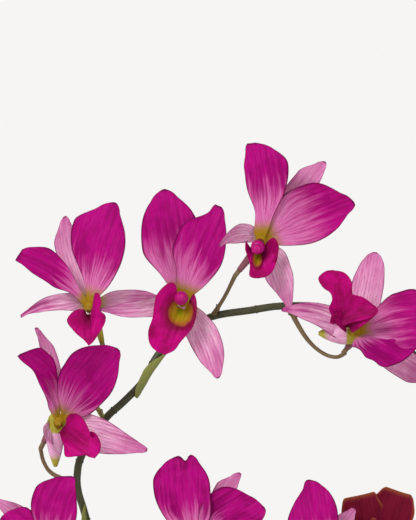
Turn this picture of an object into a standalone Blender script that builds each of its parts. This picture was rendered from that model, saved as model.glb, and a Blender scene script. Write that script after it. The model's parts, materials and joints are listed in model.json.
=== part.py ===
"""A dendrobium orchid in its pot: leafy canes, and two arching sprays that carry the blooms and buds.

Every length below is a real size in millimetres; MM turns it into the metres of the scene.
The origin is the middle of the pot's foot, +Z is up, and the blooms look towards -Y.
A point on a bloom is (right, up, forward) from the bloom's middle, where forward is -Y.
"""

import math

import bmesh
import bpy
import numpy as np
from mathutils import Matrix, Vector

MM = 0.001

# pot and growing medium
POT_HEIGHT = 105.0
POT_FOOT_RADIUS = 43.0
POT_RIM_RADIUS = 58.0
POT_COLLAR_HEIGHT = 22.0
POT_COLLAR_STEP = 3.0
POT_WALL = 5.0
POT_FLOOR = 6.0
POT_STEPS = 26
MEDIUM_TOP = 94.0
MEDIUM_RELIEF = 2.2
MEDIUM_PLAY = 0.8
MEDIUM_RINGS = 4
MEDIUM_STEPS = 24
HOLE_DEPTH = 14.0
HOLE_SIDES = 12
HOLE_PLAY = 0.8

# gap kept between two nodes that touch
SEAT = 0.35

# canes and leaves
CANE_NODE_SPACING = 21.0
CANE_RING = 0.7
CANE_NECK = 0.66
LEAF_THICKNESS = 1.0
LEAF_WIDTHS = (0.8, 1, 0.8, 0.42)
LEAF_CUP = 24

# sprays
STEM_RADII = (2.0, 1.5, 1.5, 1.5, 1.5, 1.5, 1.5, 1.0)
STALK_RADIUS = 0.8
STALK_FOOT_RADIUS = 1.1
STALK_END_RADIUS = 1.0
STALK_STRAIGHT = 2.5

# blooms
PETAL_THICKNESS = 0.8
LIP_THICKNESS = 0.8
SEPAL_HUB = (2.7, 3.1)
PETAL_HUB = (2.3, 1.5)
SEPAL_BACK = -3.2
PETAL_FRONT = 1.8
LIP_DROP = 4.6
LIP_FORWARD = 1.0
COLUMN_LENGTH = 7.5
COLUMN_RADII = (1.6, 1.9)
CAP = (2.6, 2.1)
OVARY_RADII = (1.9, 1.6, 1.1)
CHIN_RADII = (2.4, 2.9, 1.2)

# where a blade's half widths are given, from root to tip: its root, its claw, four widths, its end
STATIONS = (0.0, 0.1, 0.25, 0.5, 0.75, 0.9, 1.0)
ROOT_HALF_WIDTH = 1.3

# the lip: half widths at its hinge and its tip, how far along it the lobes reach, how strongly its rows
# curve and how much its edges rise
LIP_HINGE = 0.8
LIP_END = 0.5
LOBE_END = 0.62
ROW_CURVE = 1.7
EDGE_RISE = 0.06

# rows along a blade, and columns in each of its halves
PETAL_GRID = (6, 2)
SEPAL_GRID = (5, 1)
LIP_GRID = (8, 2)
LEAF_GRID = (6, 1)

MAGENTA = (0.42, 0.004, 0.22)
PALE_PINK = (0.68, 0.33, 0.52)
DEEP_MAGENTA = (0.30, 0.002, 0.10)
MAROON = (0.15, 0.006, 0.022)
PEACH = (0.62, 0.38, 0.30)
BUD_PINK = (0.52, 0.12, 0.32)
STEM_OLIVE = (0.045, 0.05, 0.02)
CANE_GREEN = (0.10, 0.15, 0.035)
CLAY = (0.46, 0.20, 0.11)
BARK = (0.11, 0.06, 0.035)


def blade(tip, left, right=None, **shape):
    """A petal or sepal: its tip, and its half widths on either side, seen with the tip upward."""
    return dict(tip=tip, left=left, right=right or left, **shape)


# each bloom: its middle (x, z) and how far that is in front of the pot's axis, which way it looks (right,
# forward, up), which way is up in it, then its parts. A lip's left and right are its outline on that side,
# as (along, sideways) from its root, seen with the tip upward.
PLAIN_LIP = [
    (-1.4, 3.2), (-5, 4), (-7.6, 5.6), (-6.4, 8), (-2, 9), (2.6, 8.4), (6.4, 6.4), (10, 6.8), (13.6, 4.6),
]
BLOOMS = {
    "a": dict(
        middle=(-46.8, 385.6), forward=8, face=(-0.3, 0.9, -0.2), up=(0, 1),
        petals=[
            blade((9.7, 41.3, 4), (3.6, 10.4, 12.2, 6.2), (8, 11.5, 9.3, 4.7), sway=-2.2, claw=(1.4, 3.6)),
            blade(
                (-28.4, 20.4, 9), (2.2, 5.2, 5, 3.4), (2.2, 5.4, 7, 5.4),
                sway=3, roll=35, end=2.6, claw=(1.6, 1.2),
            ),
        ],
        sepals=[
            blade((-10.4, 35.9, -6), (3.4, 4.8, 5.4, 3.0), (3.4, 4.8, 5.2, 3.0), sway=-3),
            blade((-27.6, -4, 6), (3.6, 3.1, 2.2, 1.0), (3.8, 3.4, 2.4, 1.0), sway=2.6, late=1.4, cup=35),
            blade((28, 2.8, -6), (3.6, 3.8, 3.2, 2.0), sway=-1.2),
        ],
        lip=dict(
            tip=(-0.4, -15.4, 9), lift=(4, 2), before=4,
            left=[(-3.4, 1.4), (-7, 1.6), (-10, 2.2), (-9.8, 3.9), (-6.4, 4.8), (-3.6, 4), (-1.2, 6.4),
                  (2, 6.1), (6.1, 3.8), (9.3, 1.6)],
            right=[(-3.3, 1.7), (-3.6, 4.5), (-1.9, 7.3), (1.3, 8.8), (5.6, 5.4), (8.3, 2.1)],
        ),
        column=(0.2, -0.3), reach=0.15, cap=0.5, ovary=(4.4, -14.2, -4), chin=(2, -8, -3),
    ),
    "b": dict(
        middle=(-10, 388), forward=6, face=(-0.1, 0.97, -0.15), up=(0.05, 1),
        petals=[
            blade((-7.7, 44.2, 1), (6.6, 12.2, 10.4, 6.2), (6.4, 11.0, 10.3, 5.6), claw=3.4),
            blade((14.2, 37.6, 7), (6.2, 11.2, 9.6, 3.0), (6.8, 9.6, 7.4, 4.4), claw=3.6, bow=2, end=1.4),
        ],
        sepals=[
            blade((4, 34, -9), (3, 4, 4, 2)),
            blade((-33, -3.7, 4), (4, 3.5, 2.6, 1.2), sway=-1.7, cup=30),
            blade((14.1, -31.2, -2), (4.4, 6.2, 5.4, 3.0), (6, 6.4, 5, 2.4), sway=-1.6),
        ],
        lip=dict(
            tip=(-7, -21.6, 10), lift=(4, 6),
            left=[(-3.4, 1.5), (-6.3, 1.4), (-8.6, 1.8), (-6.1, 3.9), (-1.6, 5.6), (2.9, 6.2), (6.7, 5.5),
                  (11.2, 3.8), (15, 2.8)],
            right=[(-1.8, 3.2), (-5.4, 4.2), (-8.6, 5.6), (-9.6, 8), (-7, 10.4), (-2.4, 11.9), (2, 11.2),
                   (6.4, 10.1), (11.8, 9.7), (16.1, 7.5), (18, 4.1)],
        ),
        column=(0.1, 2.6), ovary=(2, -11, -6), chin=(-1, -9, -4),
    ),
    "c": dict(
        middle=(21.6, 412), forward=14, face=(-0.35, 0.9, -0.25), up=(0.1, 1),
        petals=[
            blade((-4.2, 38.4, 2), (2.6, 4.6, 5.4, 3.4), (5.6, 11.6, 14.6, 10), sway=1.6, claw=3, end=1.6),
            blade((36.6, 14.4, 2), (11.0, 14.8, 13.0, 6.6), (6.0, 8.4, 6.6, 3.0), claw=3.4),
        ],
        sepals=[
            blade((25.3, 31.1, -8), (3.6, 6, 6.2, 3.2), (3.6, 4.4, 3.6, 2.2), end=0.3),
            blade((-17.1, -2.4, 12), (3.6, 3.8, 2.5, 1.2), (3.6, 4.2, 2.7, 1.2), bow=-3, sway=2.6),
            blade((10.8, -27.6, -2), (5.6, 6.2, 4.4, 2.6), (5.0, 6.0, 3.4, 1.6), sway=-0.8),
        ],
        lip=dict(
            tip=(-1.6, -15.2, 9), lift=(7, 4),
            left=[(-0.6, 1.1), (-3, 1.7), (-5.2, 3.2), (-6, 5), (-3.2, 6.9), (0.7, 7), (3.9, 6.5),
                  (7.3, 5.3), (9.5, 3.1)],
            right=[(-0.6, 1.9), (-1.7, 4.2), (-3.6, 6), (-0.7, 6.1), (2.4, 4.9), (5.5, 3.8), (9.5, 3.8),
                   (10.5, 2)],
        ),
        column=(1, -1.2), ovary=(-9.2, -12.2, -5), chin=(-4, -8, -3),
    ),
    "d": dict(
        middle=(58.8, 375.2), forward=12, face=(-0.3, 0.85, 0.2), up=(0.8, -0.55),
        petals=[
            blade((35.2, 5.6, 4), (7.4, 12.8, 12.4, 7.0), (5.0, 10.6, 10.8, 6.0), claw=3.4),
            blade((17.4, -11.4, 14), (5, 9, 11, 11), (9, 10.4, 12, 12), roll=-50, end=8.4),
        ],
        sepals=[
            blade((30, -18, -6), (4, 5, 4.6, 3), (5, 6.4, 6.6, 4.4)),
            blade((8.1, 31.9, -10), (5.6, 7.2, 6.2, 4.2), (5.6, 6.4, 5.6, 4.0), sway=0.5),
            blade((-29.6, 9.1, 5), (7, 5.6, 3.6, 1.6), (4.4, 3.9, 3.0, 1.6), sway=3.4),
        ],
        lip=dict(
            tip=(-9.6, 24.8, 9), lift=(3, 5), before=4,
            left=[(-2.9, 1), (0.2, 3.1), (4.3, 4.5), (8.2, 5.1), (11.3, 3), (14.2, 3.1), (16.9, 5.3),
                  (20.9, 6.3), (22.9, 2.9)],
            right=[(-3.4, 1), (-2.2, 4.6), (-0.2, 9.3), (2.4, 13.4), (6.2, 11.7), (9.5, 8.9), (10.4, 5.6),
                   (13.2, 5.7), (16.8, 6.2), (20.6, 4.3)],
        ),
        column=(-0.2, 0.2), reach=0.15, cap=0.5, ovary=(-3.4, -6.4, -5), chin=(-14.8, -0.4, -3),
    ),
    "e": dict(
        middle=(-60, 339.6), forward=8, face=(0.35, 0.9, -0.15), up=(-0.35, 0.95),
        petals=[
            blade((24.4, 28.9, 4), (9.4, 14.8, 14.6, 9.0), (7.4, 8.9, 7.0, 3.6), claw=(2.2, 3.4)),
            blade(
                (-14.9, 26.8, 9), (4.6, 4.4, 3.2, 2.4), (3.0, 4.6, 7.6, 7.6),
                sway=4.5, late=1.5, roll=20, claw=(2.6, 1.2),
            ),
        ],
        sepals=[
            blade((-8.8, 37.4, -6), (2.4, 3.0, 2.8, 1.4), (2.4, 3.2, 3.2, 1.6), sway=3.4),
            blade((35.8, -11.4, 0), (7.2, 7.0, 4.2, 2.2), (7.2, 6.8, 4.4, 2.2), sway=0.5),
            blade((-1.5, -8, 15), (2.6, 3.4, 2.6, 1.4), bow=-3.4),
        ],
        lip=dict(
            tip=(15.2, -14, 10), lift=(4, 2), before=4,
            left=[(-0.8, 3.2), (-2.1, 5.8), (-1.6, 8.5), (1.2, 10.1), (4.5, 9.5), (8.5, 7.4), (10.9, 6.1),
                  (11.7, 7.7), (14.6, 6.4), (16.4, 3.4)],
            right=[(-1.2, 0.8), (0.9, 2), (3.5, 3.5), (6.5, 6.3), (9.7, 4), (12.5, 1.4), (14.3, 0.9)],
        ),
        column=(-0.4, -0.2), reach=0.15, cap=0.5, ovary=(-5.6, -8.4, -4), chin=(-0.8, -18, -1),
    ),
    "f": dict(
        middle=(-60.8, 287.2), forward=18, face=(-0.1, 0.95, -0.1), up=(-0.1, 1),
        petals=[
            blade((7.2, 31.2, 4), (6, 10, 11, 7.6), (6, 8.4, 6, 3), sway=-3, claw=3),
            blade((-21, 15, 6), (5, 9, 9, 6), roll=30),
        ],
        sepals=[
            blade((-23.6, 21.6, -2), (3, 4, 3.6, 2), sway=2),
            blade((-20, -16, 4), (4, 5, 4, 2)),
            blade((16, -24, 2), (4, 5, 4, 2)),
        ],
        lip=dict(tip=(-2, -18, 10)),
        column=(0, 0), ovary=(3, -8, -7), chin=(-1, -10, -4),
    ),
    "g": dict(
        middle=(-4.4, 290), forward=22, face=(-0.2, 0.95, -0.1), up=(0.4, 0.9),
        petals=[
            blade(
                (-4.8, 37, 4), (7, 11.4, 12.4, 9.4), (7.6, 10.4, 9.8, 6.6),
                sway=-1.5, claw=3, end=3, notch=2.2,
            ),
            blade((26.9, 16, 6), (11, 16, 15, 8.6), (6, 8, 6, 3.4), claw=3),
        ],
        sepals=[
            blade((17.2, 29.5, -6), (3, 5.4, 6, 3), (3, 3.6, 2.4, 1.4)),
            blade((-25, -8, 4), (4, 5, 4, 2)),
            blade((8, -28, 2), (4, 5.4, 4.4, 2.2)),
        ],
        lip=dict(tip=(-6, -18, 10)),
        column=(0, 0), ovary=(2, -9, -7), chin=(-3, -9, -4),
    ),
    "h": dict(
        middle=(44, 285.6), forward=26, face=(0.1, 0.95, -0.1), up=(0.1, 1),
        petals=[
            blade((-4.7, 31.8, 4), (8, 10.8, 6.8, 2.6), (7, 9.6, 8.6, 5.4), claw=3),
            blade((28, 5, 6), (6, 10, 10, 6), (4, 8.4, 9.6, 6), roll=-20),
        ],
        sepals=[
            blade((14, 20, -6), (3, 5, 4, 2)),
            blade((-24, -6, 4), (4, 5, 4, 2)),
            blade((12, -27, 2), (4, 5.4, 4.4, 2.2)),
        ],
        lip=dict(tip=(-4, -18, 10)),
        column=(0, 0), ovary=(-2, -8, -7), chin=(-3, -9, -4),
    ),
    "i": dict(
        middle=(66, 283), forward=14, face=(0.1, -0.85, -0.25), up=(0, 1), colours=(PEACH, MAROON, MAROON),
        petals=[
            blade((-6, 27.6, 1), (5, 8, 8.4, 7.2), (5, 8, 8.6, 7.6), claw=2.6, end=6),
            blade((9.4, 29.4, 2), (5, 8, 9, 7.4), (5, 8, 9.4, 7.4), claw=2.6, end=5),
        ],
        sepals=[
            blade((-0.6, 19, 9), (3, 4, 3, 1.6)),
            blade((-20, -10, 6), (3, 4, 3, 1.6)),
            blade((18, -13, 6), (3, 4, 3, 1.6)),
        ],
        lip=dict(tip=(2, -16, -9)),
        column=(0, 0.6), ovary=(-3, -8, 4), chin=(0, -8, 3),
    ),
    "j": dict(
        middle=(126, 350), forward=10, face=(0.35, 0.9, -0.1), up=(0, 1),
        petals=[
            blade((-16, 34, 4), (6, 10, 10, 5.6), (6.4, 10.8, 11, 6.0), claw=3.4),
            blade((31, 22, 4), (7, 12, 12, 6.0), (6.2, 10, 9.4, 5.0), claw=3.4),
        ],
        sepals=[
            blade((8, 35, -6), (3.4, 4.6, 4.2, 2.2)),
            blade((-27, -14, 0), (4.4, 5.4, 4.2, 2.0), sway=1),
            blade((20, -26, 0), (4.4, 5.6, 4.6, 2.2), sway=-1),
        ],
        lip=dict(tip=(3, -20, 11)),
        column=(-1.6, 0.8), ovary=(-4, -9, -7), chin=(-1, -10, -4),
    ),
    "k": dict(
        middle=(109, 266), forward=24, face=(0.2, 0.92, -0.25), up=(0.1, 1),
        petals=[
            blade((-19, 28, 5), (6, 10, 9.4, 5.0), (6.4, 10.8, 10.4, 5.6), claw=3.2),
            blade((28, 20, 5), (6.6, 11.4, 11, 5.8), (6, 9.4, 9, 4.6), claw=3.2),
        ],
        sepals=[
            blade((5, 33, -5), (3.4, 4.6, 4.2, 2.2)),
            blade((-24, -13, 2), (4.4, 5.4, 4.2, 2.0), sway=1),
            blade((18, -24, 2), (4.4, 5.6, 4.6, 2.2), sway=-1),
        ],
        lip=dict(tip=(2, -19, 12)),
        column=(-0.8, 0.6), ovary=(-5, -8, -7), chin=(-2, -10, -4),
    ),
}

# each spray: the stem's route (x, y, z), and for each bloom the stalk's route from the stem up to the bloom
SPRAYS = {
    "upper_spray_stem": dict(
        route=[
            (-28, 8, 229), (-32, 8.4, 243), (-38, 8.6, 262), (-44, 8.4, 281), (-49.4, 7, 302),
            (-52, 5, 311), (-52.4, 4, 318), (-50.4, 4, 326), (-41.4, 4, 340), (-34, 4, 347),
            (-26, 4.4, 355.4), (-20, 5, 366), (-10.6, 5.6, 375.6), (2, 6, 381.4), (16.8, 6.2, 383.8),
            (30, 6.4, 385.6), (46.8, 6.6, 384.8), (65, 6.6, 378), (81.4, 6, 367), (97, 5, 352),
            (112, 4, 336), (125, 3, 317), (134, 2, 298), (139, 1, 281),
        ],
        stalks={
            "a": [(-41.4, 4, 340), (-44.6, 2.4, 346), (-44.4, 0, 356)],
            "b": [(-12.5, 5.6, 374), (-9.5, 2.4, 375)],
            "c": [(1.5, 6, 381.2), (6.5, 0, 389)],
            "d": [
                (32, 6.4, 385.6), (37.6, 3, 375.4), (42, 1.4, 369.8), (47, 0.4, 366.2), (51.4, -1, 365.2),
                (54.4, -4, 366.6),
            ],
            "e": [(-52.6, 4.2, 314), (-62.2, 2, 318.4), (-65.6, 0, 323), (-66.8, -2.4, 328)],
            "f": [(-44, 8.4, 281), (-49.6, 3, 279.4), (-56, -6, 278)],
            "j": [(108, 4.4, 340.4), (116, 2.4, 339)],
        },
        buds=[
            dict(base=(138, 1, 286), tip=(155, -11, 294), length=15, radius=5.0),
            dict(base=(130, 2.4, 308), tip=(149, -12, 318), length=17, radius=5.8),
            dict(base=(139, 1, 281), tip=(140, -2, 265), length=10, radius=3.4),
        ],
    ),
    "lower_spray_stem": dict(
        route=[
            (-4, -10, 219), (-5.6, -10.6, 234), (-5.4, -11, 250), (1, -11, 262), (12, -11, 268.4),
            (26, -11, 271), (42, -11, 271), (58, -10.6, 268), (74, -10, 262), (90, -9.4, 252.6),
            (104, -9, 240), (114, -9, 224), (119, -9, 207),
        ],
        stalks={
            "g": [(-5, -11, 252.6), (-6, -12.4, 264), (-4, -14, 273)],
            "h": [(22, -11, 270.6), (33, -14, 275)],
            "i": [(54, -10.8, 269), (60, -13.4, 270.5)],
            "k": [(88, -9.6, 254), (97.5, -13, 254.4)],
        },
        buds=[
            dict(base=(113, -9, 226.6), tip=(131, -20, 231), length=15, radius=5.2),
            dict(base=(108.6, -9, 234), tip=(92, -18, 220), length=16, radius=5.6),
            dict(base=(119, -9, 207), tip=(119, -12, 191), length=10, radius=3.4),
        ],
    ),
}

# each cane: foot (x, y), top (x, y, z), greatest radius, and its leaves as
# (height on the cane, direction in degrees from +X, length, rise, drop of the tip, half width)
CANES = {
    "flowering_cane_left": dict(
        foot=(-15, 9), top=(-28, 8, 228.6), radius=7.6,
        leaves=[(172, 165, 96, 40, 26, 12.5), (196, 225, 92, 44, 22, 12), (212, 120, 84, 38, 22, 11)],
    ),
    "flowering_cane_middle": dict(
        foot=(8, -9), top=(-4, -10, 218.6), radius=7.2,
        leaves=[(164, 305, 96, 36, 30, 12.5), (186, 252, 92, 30, 34, 12), (204, 280, 80, 24, 34, 11)],
    ),
    "leafy_cane_back": dict(
        foot=(10, 22), top=(17, 34, 206), radius=7.0,
        leaves=[(150, 45, 100, 44, 26, 13), (168, 95, 104, 46, 24, 13), (186, 15, 98, 50, 20, 12.5),
                (200, 70, 92, 56, 12, 11.5)],
    ),
    "young_shoot_right": dict(
        foot=(31, -2), top=(41, -4, 150), radius=5.6,
        leaves=[(118, 325, 84, 40, 22, 12), (132, 35, 90, 42, 22, 12.5), (144, 350, 76, 40, 16, 11)],
    ),
}


def unit(v):
    v = np.asarray(v, float)
    return v / np.linalg.norm(v)


def turned(v, axis, degrees):
    """v turned about axis."""
    a = math.radians(degrees)
    axis = unit(axis)
    return v * math.cos(a) + np.cross(axis, v) * math.sin(a) + axis * np.dot(axis, v) * (1 - math.cos(a))


def on_bloom(offset):
    """(right, up, forward) as x, y, z."""
    return np.array([offset[0], -offset[2], offset[1]], float)


def through(t, xs, ys):
    """A smooth curve through the points (xs, ys) that rises past none of them."""
    k = max(i for i in range(len(xs) - 1) if xs[i] <= t)

    def slope(i):
        if i == 0:
            return (ys[1] - ys[0]) / (xs[1] - xs[0])
        if i == len(xs) - 1:
            return 2.2 * (ys[-1] - ys[-2]) / (xs[-1] - xs[-2])
        before = (ys[i] - ys[i - 1]) / (xs[i] - xs[i - 1])
        after = (ys[i + 1] - ys[i]) / (xs[i + 1] - xs[i])
        return 0 if before * after <= 0 else (before + after) / 2

    h = xs[k + 1] - xs[k]
    s = (t - xs[k]) / h
    ends = (1 + 2 * s) * (1 - s) ** 2 * ys[k] + s * s * (3 - 2 * s) * ys[k + 1]
    return ends + s * (1 - s) ** 2 * h * slope(k) + s * s * (s - 1) * h * slope(k + 1)


def smooth_route(points, steps):
    """Points along a smooth curve through the given ones."""
    p = [np.asarray(q, float) for q in points]
    p = [2 * p[0] - p[1]] + p + [2 * p[-1] - p[-2]]
    route = []
    for k in range(1, len(p) - 2):
        for i in range(steps):
            t = i / steps
            a = 2 * p[k] + (p[k + 1] - p[k - 1]) * t
            b = (2 * p[k - 1] - 5 * p[k] + 4 * p[k + 1] - p[k + 2]) * t * t
            c = (3 * p[k] - p[k - 1] - 3 * p[k + 1] + p[k + 2]) * t ** 3
            route.append((a + b + c) / 2)
    return route + [p[-2]]


def ease(x, low, high):
    """0 below low, 1 above high and smooth between."""
    x = min(1, max(0, (x - low) / (high - low)))
    return x * x * (3 - 2 * x)


def blade_grid(
    base, face, grid, tip, left, right, roll=0, bow=0, sway=0, late=0, cup=20, claw=2.2, end=0.5, notch=0,
):
    """Points of a petal, sepal or leaf: rows from root to tip, each from its left edge to its right one.

    roll turns it about its length and cup raises its edges, both in degrees. bow arches it towards its
    face, sway arches it sideways, and late moves that arch towards the tip. claw is the half width of its
    claw, or a pair of them, and notch is how deep its tip is cut in the middle.
    """
    rows, half_columns = grid
    base = np.asarray(base, float)
    chord = np.asarray(tip, float) - base
    along = unit(chord)
    normal = np.asarray(face, float)
    normal = unit(normal - np.dot(normal, along) * along)
    normal = turned(normal, along, roll)
    side = np.cross(along, normal)
    claws = claw if isinstance(claw, tuple) else (claw, claw)
    left_widths = (ROOT_HALF_WIDTH, claws[0]) + tuple(left) + (end,)
    right_widths = (ROOT_HALF_WIDTH, claws[1]) + tuple(right) + (end,)
    points = np.zeros((rows + 1, 2 * half_columns + 1, 3))
    for i in range(rows + 1):
        t = 1 - (1 - i / rows) ** 1.25
        arch = 4 * t * (1 - t)
        middle = base + chord * t + normal * bow * arch + side * (sway * arch + late * t * arch)
        rise = math.tan(math.radians(cup) * min(1, 0.35 + 1.2 * t)) / 2
        for j in range(2 * half_columns + 1):
            v = j / half_columns - 1
            half = through(t, STATIONS, right_widths if v > 0 else left_widths)
            cut = notch * math.exp(-((v / 0.45) ** 2)) * ease(t, 0.8, 1)
            points[i, j] = middle + side * half * v + normal * half * rise * abs(v) ** 1.6 - along * cut
    return points


def lip_outline(side, start, length, rows):
    """One side's outline from the hinge to the tip, as evenly spread (along, sideways)."""
    corners = [(start, LIP_HINGE, 0)] + [(*corner, 0) for corner in side] + [(length, LIP_END, 0)]
    line = np.array(smooth_route(corners, 12))[:, :2]
    distance = np.concatenate([[0], np.cumsum(np.linalg.norm(np.diff(line, axis=0), axis=1))])
    spread = np.linspace(0, distance[-1], rows + 1)
    return np.stack([np.interp(spread, distance, line[:, k]) for k in (0, 1)], -1)


def lip_grid(hinge, base, face, tip, left=PLAIN_LIP, right=PLAIN_LIP, lift=(5, 5), bow=1.5, before=0):
    """Points of the lip: two side lobes that stand up round the column, then a tongue.

    Its outline lies flat before the plant and its depth is added towards the side that it faces. Every row
    runs from the left outline through the middle to the right one. lift is how far the (left, right) lobe
    stands out, and before how far the middle does.
    """
    rows, half_columns = LIP_GRID
    base = np.asarray(base, float)
    out = np.array([0, math.copysign(1, face[1]), 0])
    chord = np.asarray(tip, float) - base
    slope = np.dot(chord, out)
    chord = chord - out * slope
    length = np.linalg.norm(chord)
    along = chord / length
    across = np.cross(along, out)
    root = hinge - base
    start = np.dot(root, along)
    root = root - along * start
    outlines = [lip_outline(side, start, length, rows) for side in (left, right)]
    points = np.zeros((rows + 1, 2 * half_columns + 1, 3))
    for i in range(rows + 1):
        t = i / rows
        middle = start + (length - start) * t
        for j in range(2 * half_columns + 1):
            v = j / half_columns - 1
            k = 1 if v > 0 else 0
            a = middle + (outlines[k][i, 0] - middle) * abs(v) ** ROW_CURVE
            s = outlines[k][i, 1] * v
            lobe = math.sin(math.pi * min(1, t / LOBE_END)) ** 0.8 * lift[k]
            height = max(0, a) / length * slope + bow * 4 * t * (1 - t) + before * ease(t, 0, 0.15)
            height += lobe * abs(v) ** 1.8 + EDGE_RISE * abs(s * v)
            points[i, j] = base + along * a + across * s + out * height + root * (1 - t) ** 6
    return points


def clear_scene():
    for obj in list(bpy.data.objects):
        bpy.data.objects.remove(obj)


def material(name, colour, roughness):
    made = bpy.data.materials.get(name)
    if made is None:
        made = bpy.data.materials.new(name)
        made.use_nodes = True
        shader = made.node_tree.nodes["Principled BSDF"]
        shader.inputs["Base Color"].default_value = (*colour, 1)
        shader.inputs["Roughness"].default_value = roughness
        shader.inputs["Metallic"].default_value = 0
    return made


def collection(name):
    made = bpy.data.collections.new(name)
    bpy.context.scene.collection.children.link(made)
    return made


def sheet(points, thickness):
    """A grid of points as a thin closed blade, its squares split alike on both faces."""
    rows, columns = points.shape[:2]
    bm = bmesh.new()
    verts = [[bm.verts.new(points[i, j] * MM) for j in range(columns)] for i in range(rows)]
    for i in range(rows - 1):
        for j in range(columns - 1):
            a, b, c, d = verts[i][j], verts[i + 1][j], verts[i + 1][j + 1], verts[i][j + 1]
            first, second = ((a, b, c), (a, c, d)) if j < (columns - 1) / 2 else ((a, b, d), (b, c, d))
            bm.faces.new(first)
            bm.faces.new(second)
    mesh = bpy.data.meshes.new("blade")
    bm.to_mesh(mesh)
    bm.free()
    obj = bpy.data.objects.new("blade", mesh)
    wall = obj.modifiers.new("thickness", "SOLIDIFY")
    wall.thickness = thickness * MM
    wall.offset = 0
    return obj


def ball(centre, axis, radii, segments=6, rings=4):
    """A rounded lump: radii are (across, along axis)."""
    bm = bmesh.new()
    bmesh.ops.create_uvsphere(bm, u_segments=segments, v_segments=rings, radius=1)
    turn = Vector((0, 0, 1)).rotation_difference(Vector(axis)).to_matrix().to_4x4()
    size = Matrix.Diagonal((radii[0] * MM, radii[0] * MM, radii[1] * MM, 1))
    place = Matrix.Translation(Vector(centre) * MM)
    bmesh.ops.transform(bm, matrix=place @ turn @ size, verts=bm.verts)
    mesh = bpy.data.meshes.new("ball")
    bm.to_mesh(mesh)
    bm.free()
    return bpy.data.objects.new("ball", mesh)


def rod(points, radii, resolution=1):
    """A round stem along the points, with its caps closed; radii are spread evenly along it."""
    curve = bpy.data.curves.new("rod", "CURVE")
    curve.dimensions = "3D"
    curve.bevel_depth = MM
    curve.bevel_resolution = resolution
    curve.use_fill_caps = True
    spline = curve.splines.new("POLY")
    spline.points.add(len(points) - 1)
    places = np.linspace(0, 1, len(radii))
    for i, (point, place) in enumerate(zip(spline.points, np.linspace(0, 1, len(points)))):
        point.co = (*(np.asarray(points[i]) * MM), 1)
        point.radius = np.interp(place, places, radii)
    guide = bpy.data.objects.new("rod", curve)
    bpy.context.scene.collection.objects.link(guide)
    graph = bpy.context.evaluated_depsgraph_get()
    mesh = bpy.data.meshes.new_from_object(guide.evaluated_get(graph))
    bpy.data.objects.remove(guide)
    bm = bmesh.new()
    bm.from_mesh(mesh)
    bmesh.ops.remove_doubles(bm, verts=bm.verts, dist=1e-6)
    bmesh.ops.recalc_face_normals(bm, faces=bm.faces)
    bm.to_mesh(mesh)
    bm.free()
    return bpy.data.objects.new("rod", mesh)


def grown(name, pieces, colour, roughness, parts):
    """The pieces made one closed body."""
    others = collection(name + "_pieces")
    body = pieces[0]
    parts.objects.link(body)
    for piece in pieces[1:]:
        others.objects.link(piece)
    if len(pieces) > 1:
        union = body.modifiers.new("grown together", "BOOLEAN")
        union.operation = "UNION"
        union.operand_type = "COLLECTION"
        union.collection = others
    graph = bpy.context.evaluated_depsgraph_get()
    mesh = bpy.data.meshes.new_from_object(body.evaluated_get(graph))
    for piece in pieces:
        bpy.data.objects.remove(piece)
    bpy.data.collections.remove(others)
    mesh.name = name
    mesh.materials.clear()
    mesh.materials.append(material(name + "_finish", colour, roughness))
    mesh.shade_smooth()
    mesh.set_sharp_from_angle(angle=math.radians(40))
    node = bpy.data.objects.new(name, mesh)
    parts.objects.link(node)
    return node


def bloom(letter, row, parts):
    """One bloom: a node of sepals, ovary and chin, a node of petals and column, and the lip."""
    middle = np.array([row["middle"][0], -row["forward"], row["middle"][1]])
    face = unit(on_bloom((row["face"][0], row["face"][2], row["face"][1])))
    upward = unit(on_bloom((*row["up"], 0)))
    pale, bright, deep = row.get("colours", (PALE_PINK, MAGENTA, DEEP_MAGENTA))
    back = middle + face * SEPAL_BACK
    front = middle + face * PETAL_FRONT

    def blades(rows, root, grid):
        for values in rows:
            values = dict(values, tip=middle + on_bloom(values["tip"]))
            yield sheet(blade_grid(root, face, grid, **values), PETAL_THICKNESS)

    chin_tip = middle + on_bloom(row["chin"])
    ovary_end = middle + on_bloom(row["ovary"])
    pieces = [ball(back, face, SEPAL_HUB)]
    pieces += blades(row["sepals"], back, SEPAL_GRID)
    pieces.append(rod([back, (back + chin_tip) / 2, chin_tip], CHIN_RADII))
    pieces.append(rod([back, (back + ovary_end) / 2, ovary_end], OVARY_RADII))
    grown(f"bloom_{letter}_sepals", pieces, pale, 0.5, parts)

    size = row.get("cap", 0.9)
    cap = front + face * COLUMN_LENGTH * row.get("reach", 1) + on_bloom((*row["column"], 0))
    pieces = [ball(front, face, PETAL_HUB)]
    pieces += blades(row["petals"], front, PETAL_GRID)
    pieces.append(rod([front, cap], [radius * size for radius in COLUMN_RADII]))
    pieces.append(ball(cap, face, [radius * size for radius in CAP]))
    grown(f"bloom_{letter}_petals", pieces, bright, 0.45, parts)

    values = dict(row["lip"], tip=middle + on_bloom(row["lip"]["tip"]))
    lip_root = middle - upward * LIP_DROP + face * LIP_FORWARD
    hinge = front - upward * (PETAL_HUB[0] + LIP_THICKNESS / 2 + SEAT)
    lip = sheet(lip_grid(hinge, lip_root, face, **values), LIP_THICKNESS)
    grown(f"bloom_{letter}_lip", [lip], deep, 0.4, parts)
    return ovary_end, unit(ovary_end - back)


def bud(name, row, parts):
    """A closed bud on its own short stalk end."""
    tip = np.asarray(row["tip"], float)
    length, radius = row["length"], row["radius"]
    way = unit(tip - np.asarray(row["base"], float))
    middle = tip - way * length / 2
    root = tip - way * (length + 1)
    chin = middle - way * length / 4 + unit(np.array([0, 0, -1.0]) - way) * radius
    pieces = [
        ball(middle, way, (radius, length / 2), segments=8, rings=6),
        rod([root, middle], (STALK_END_RADIUS, radius / 2)),
        rod([middle, chin], (radius / 2, 1.2)),
    ]
    grown(name, pieces, BUD_PINK, 0.5, parts)
    return root, way


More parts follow.
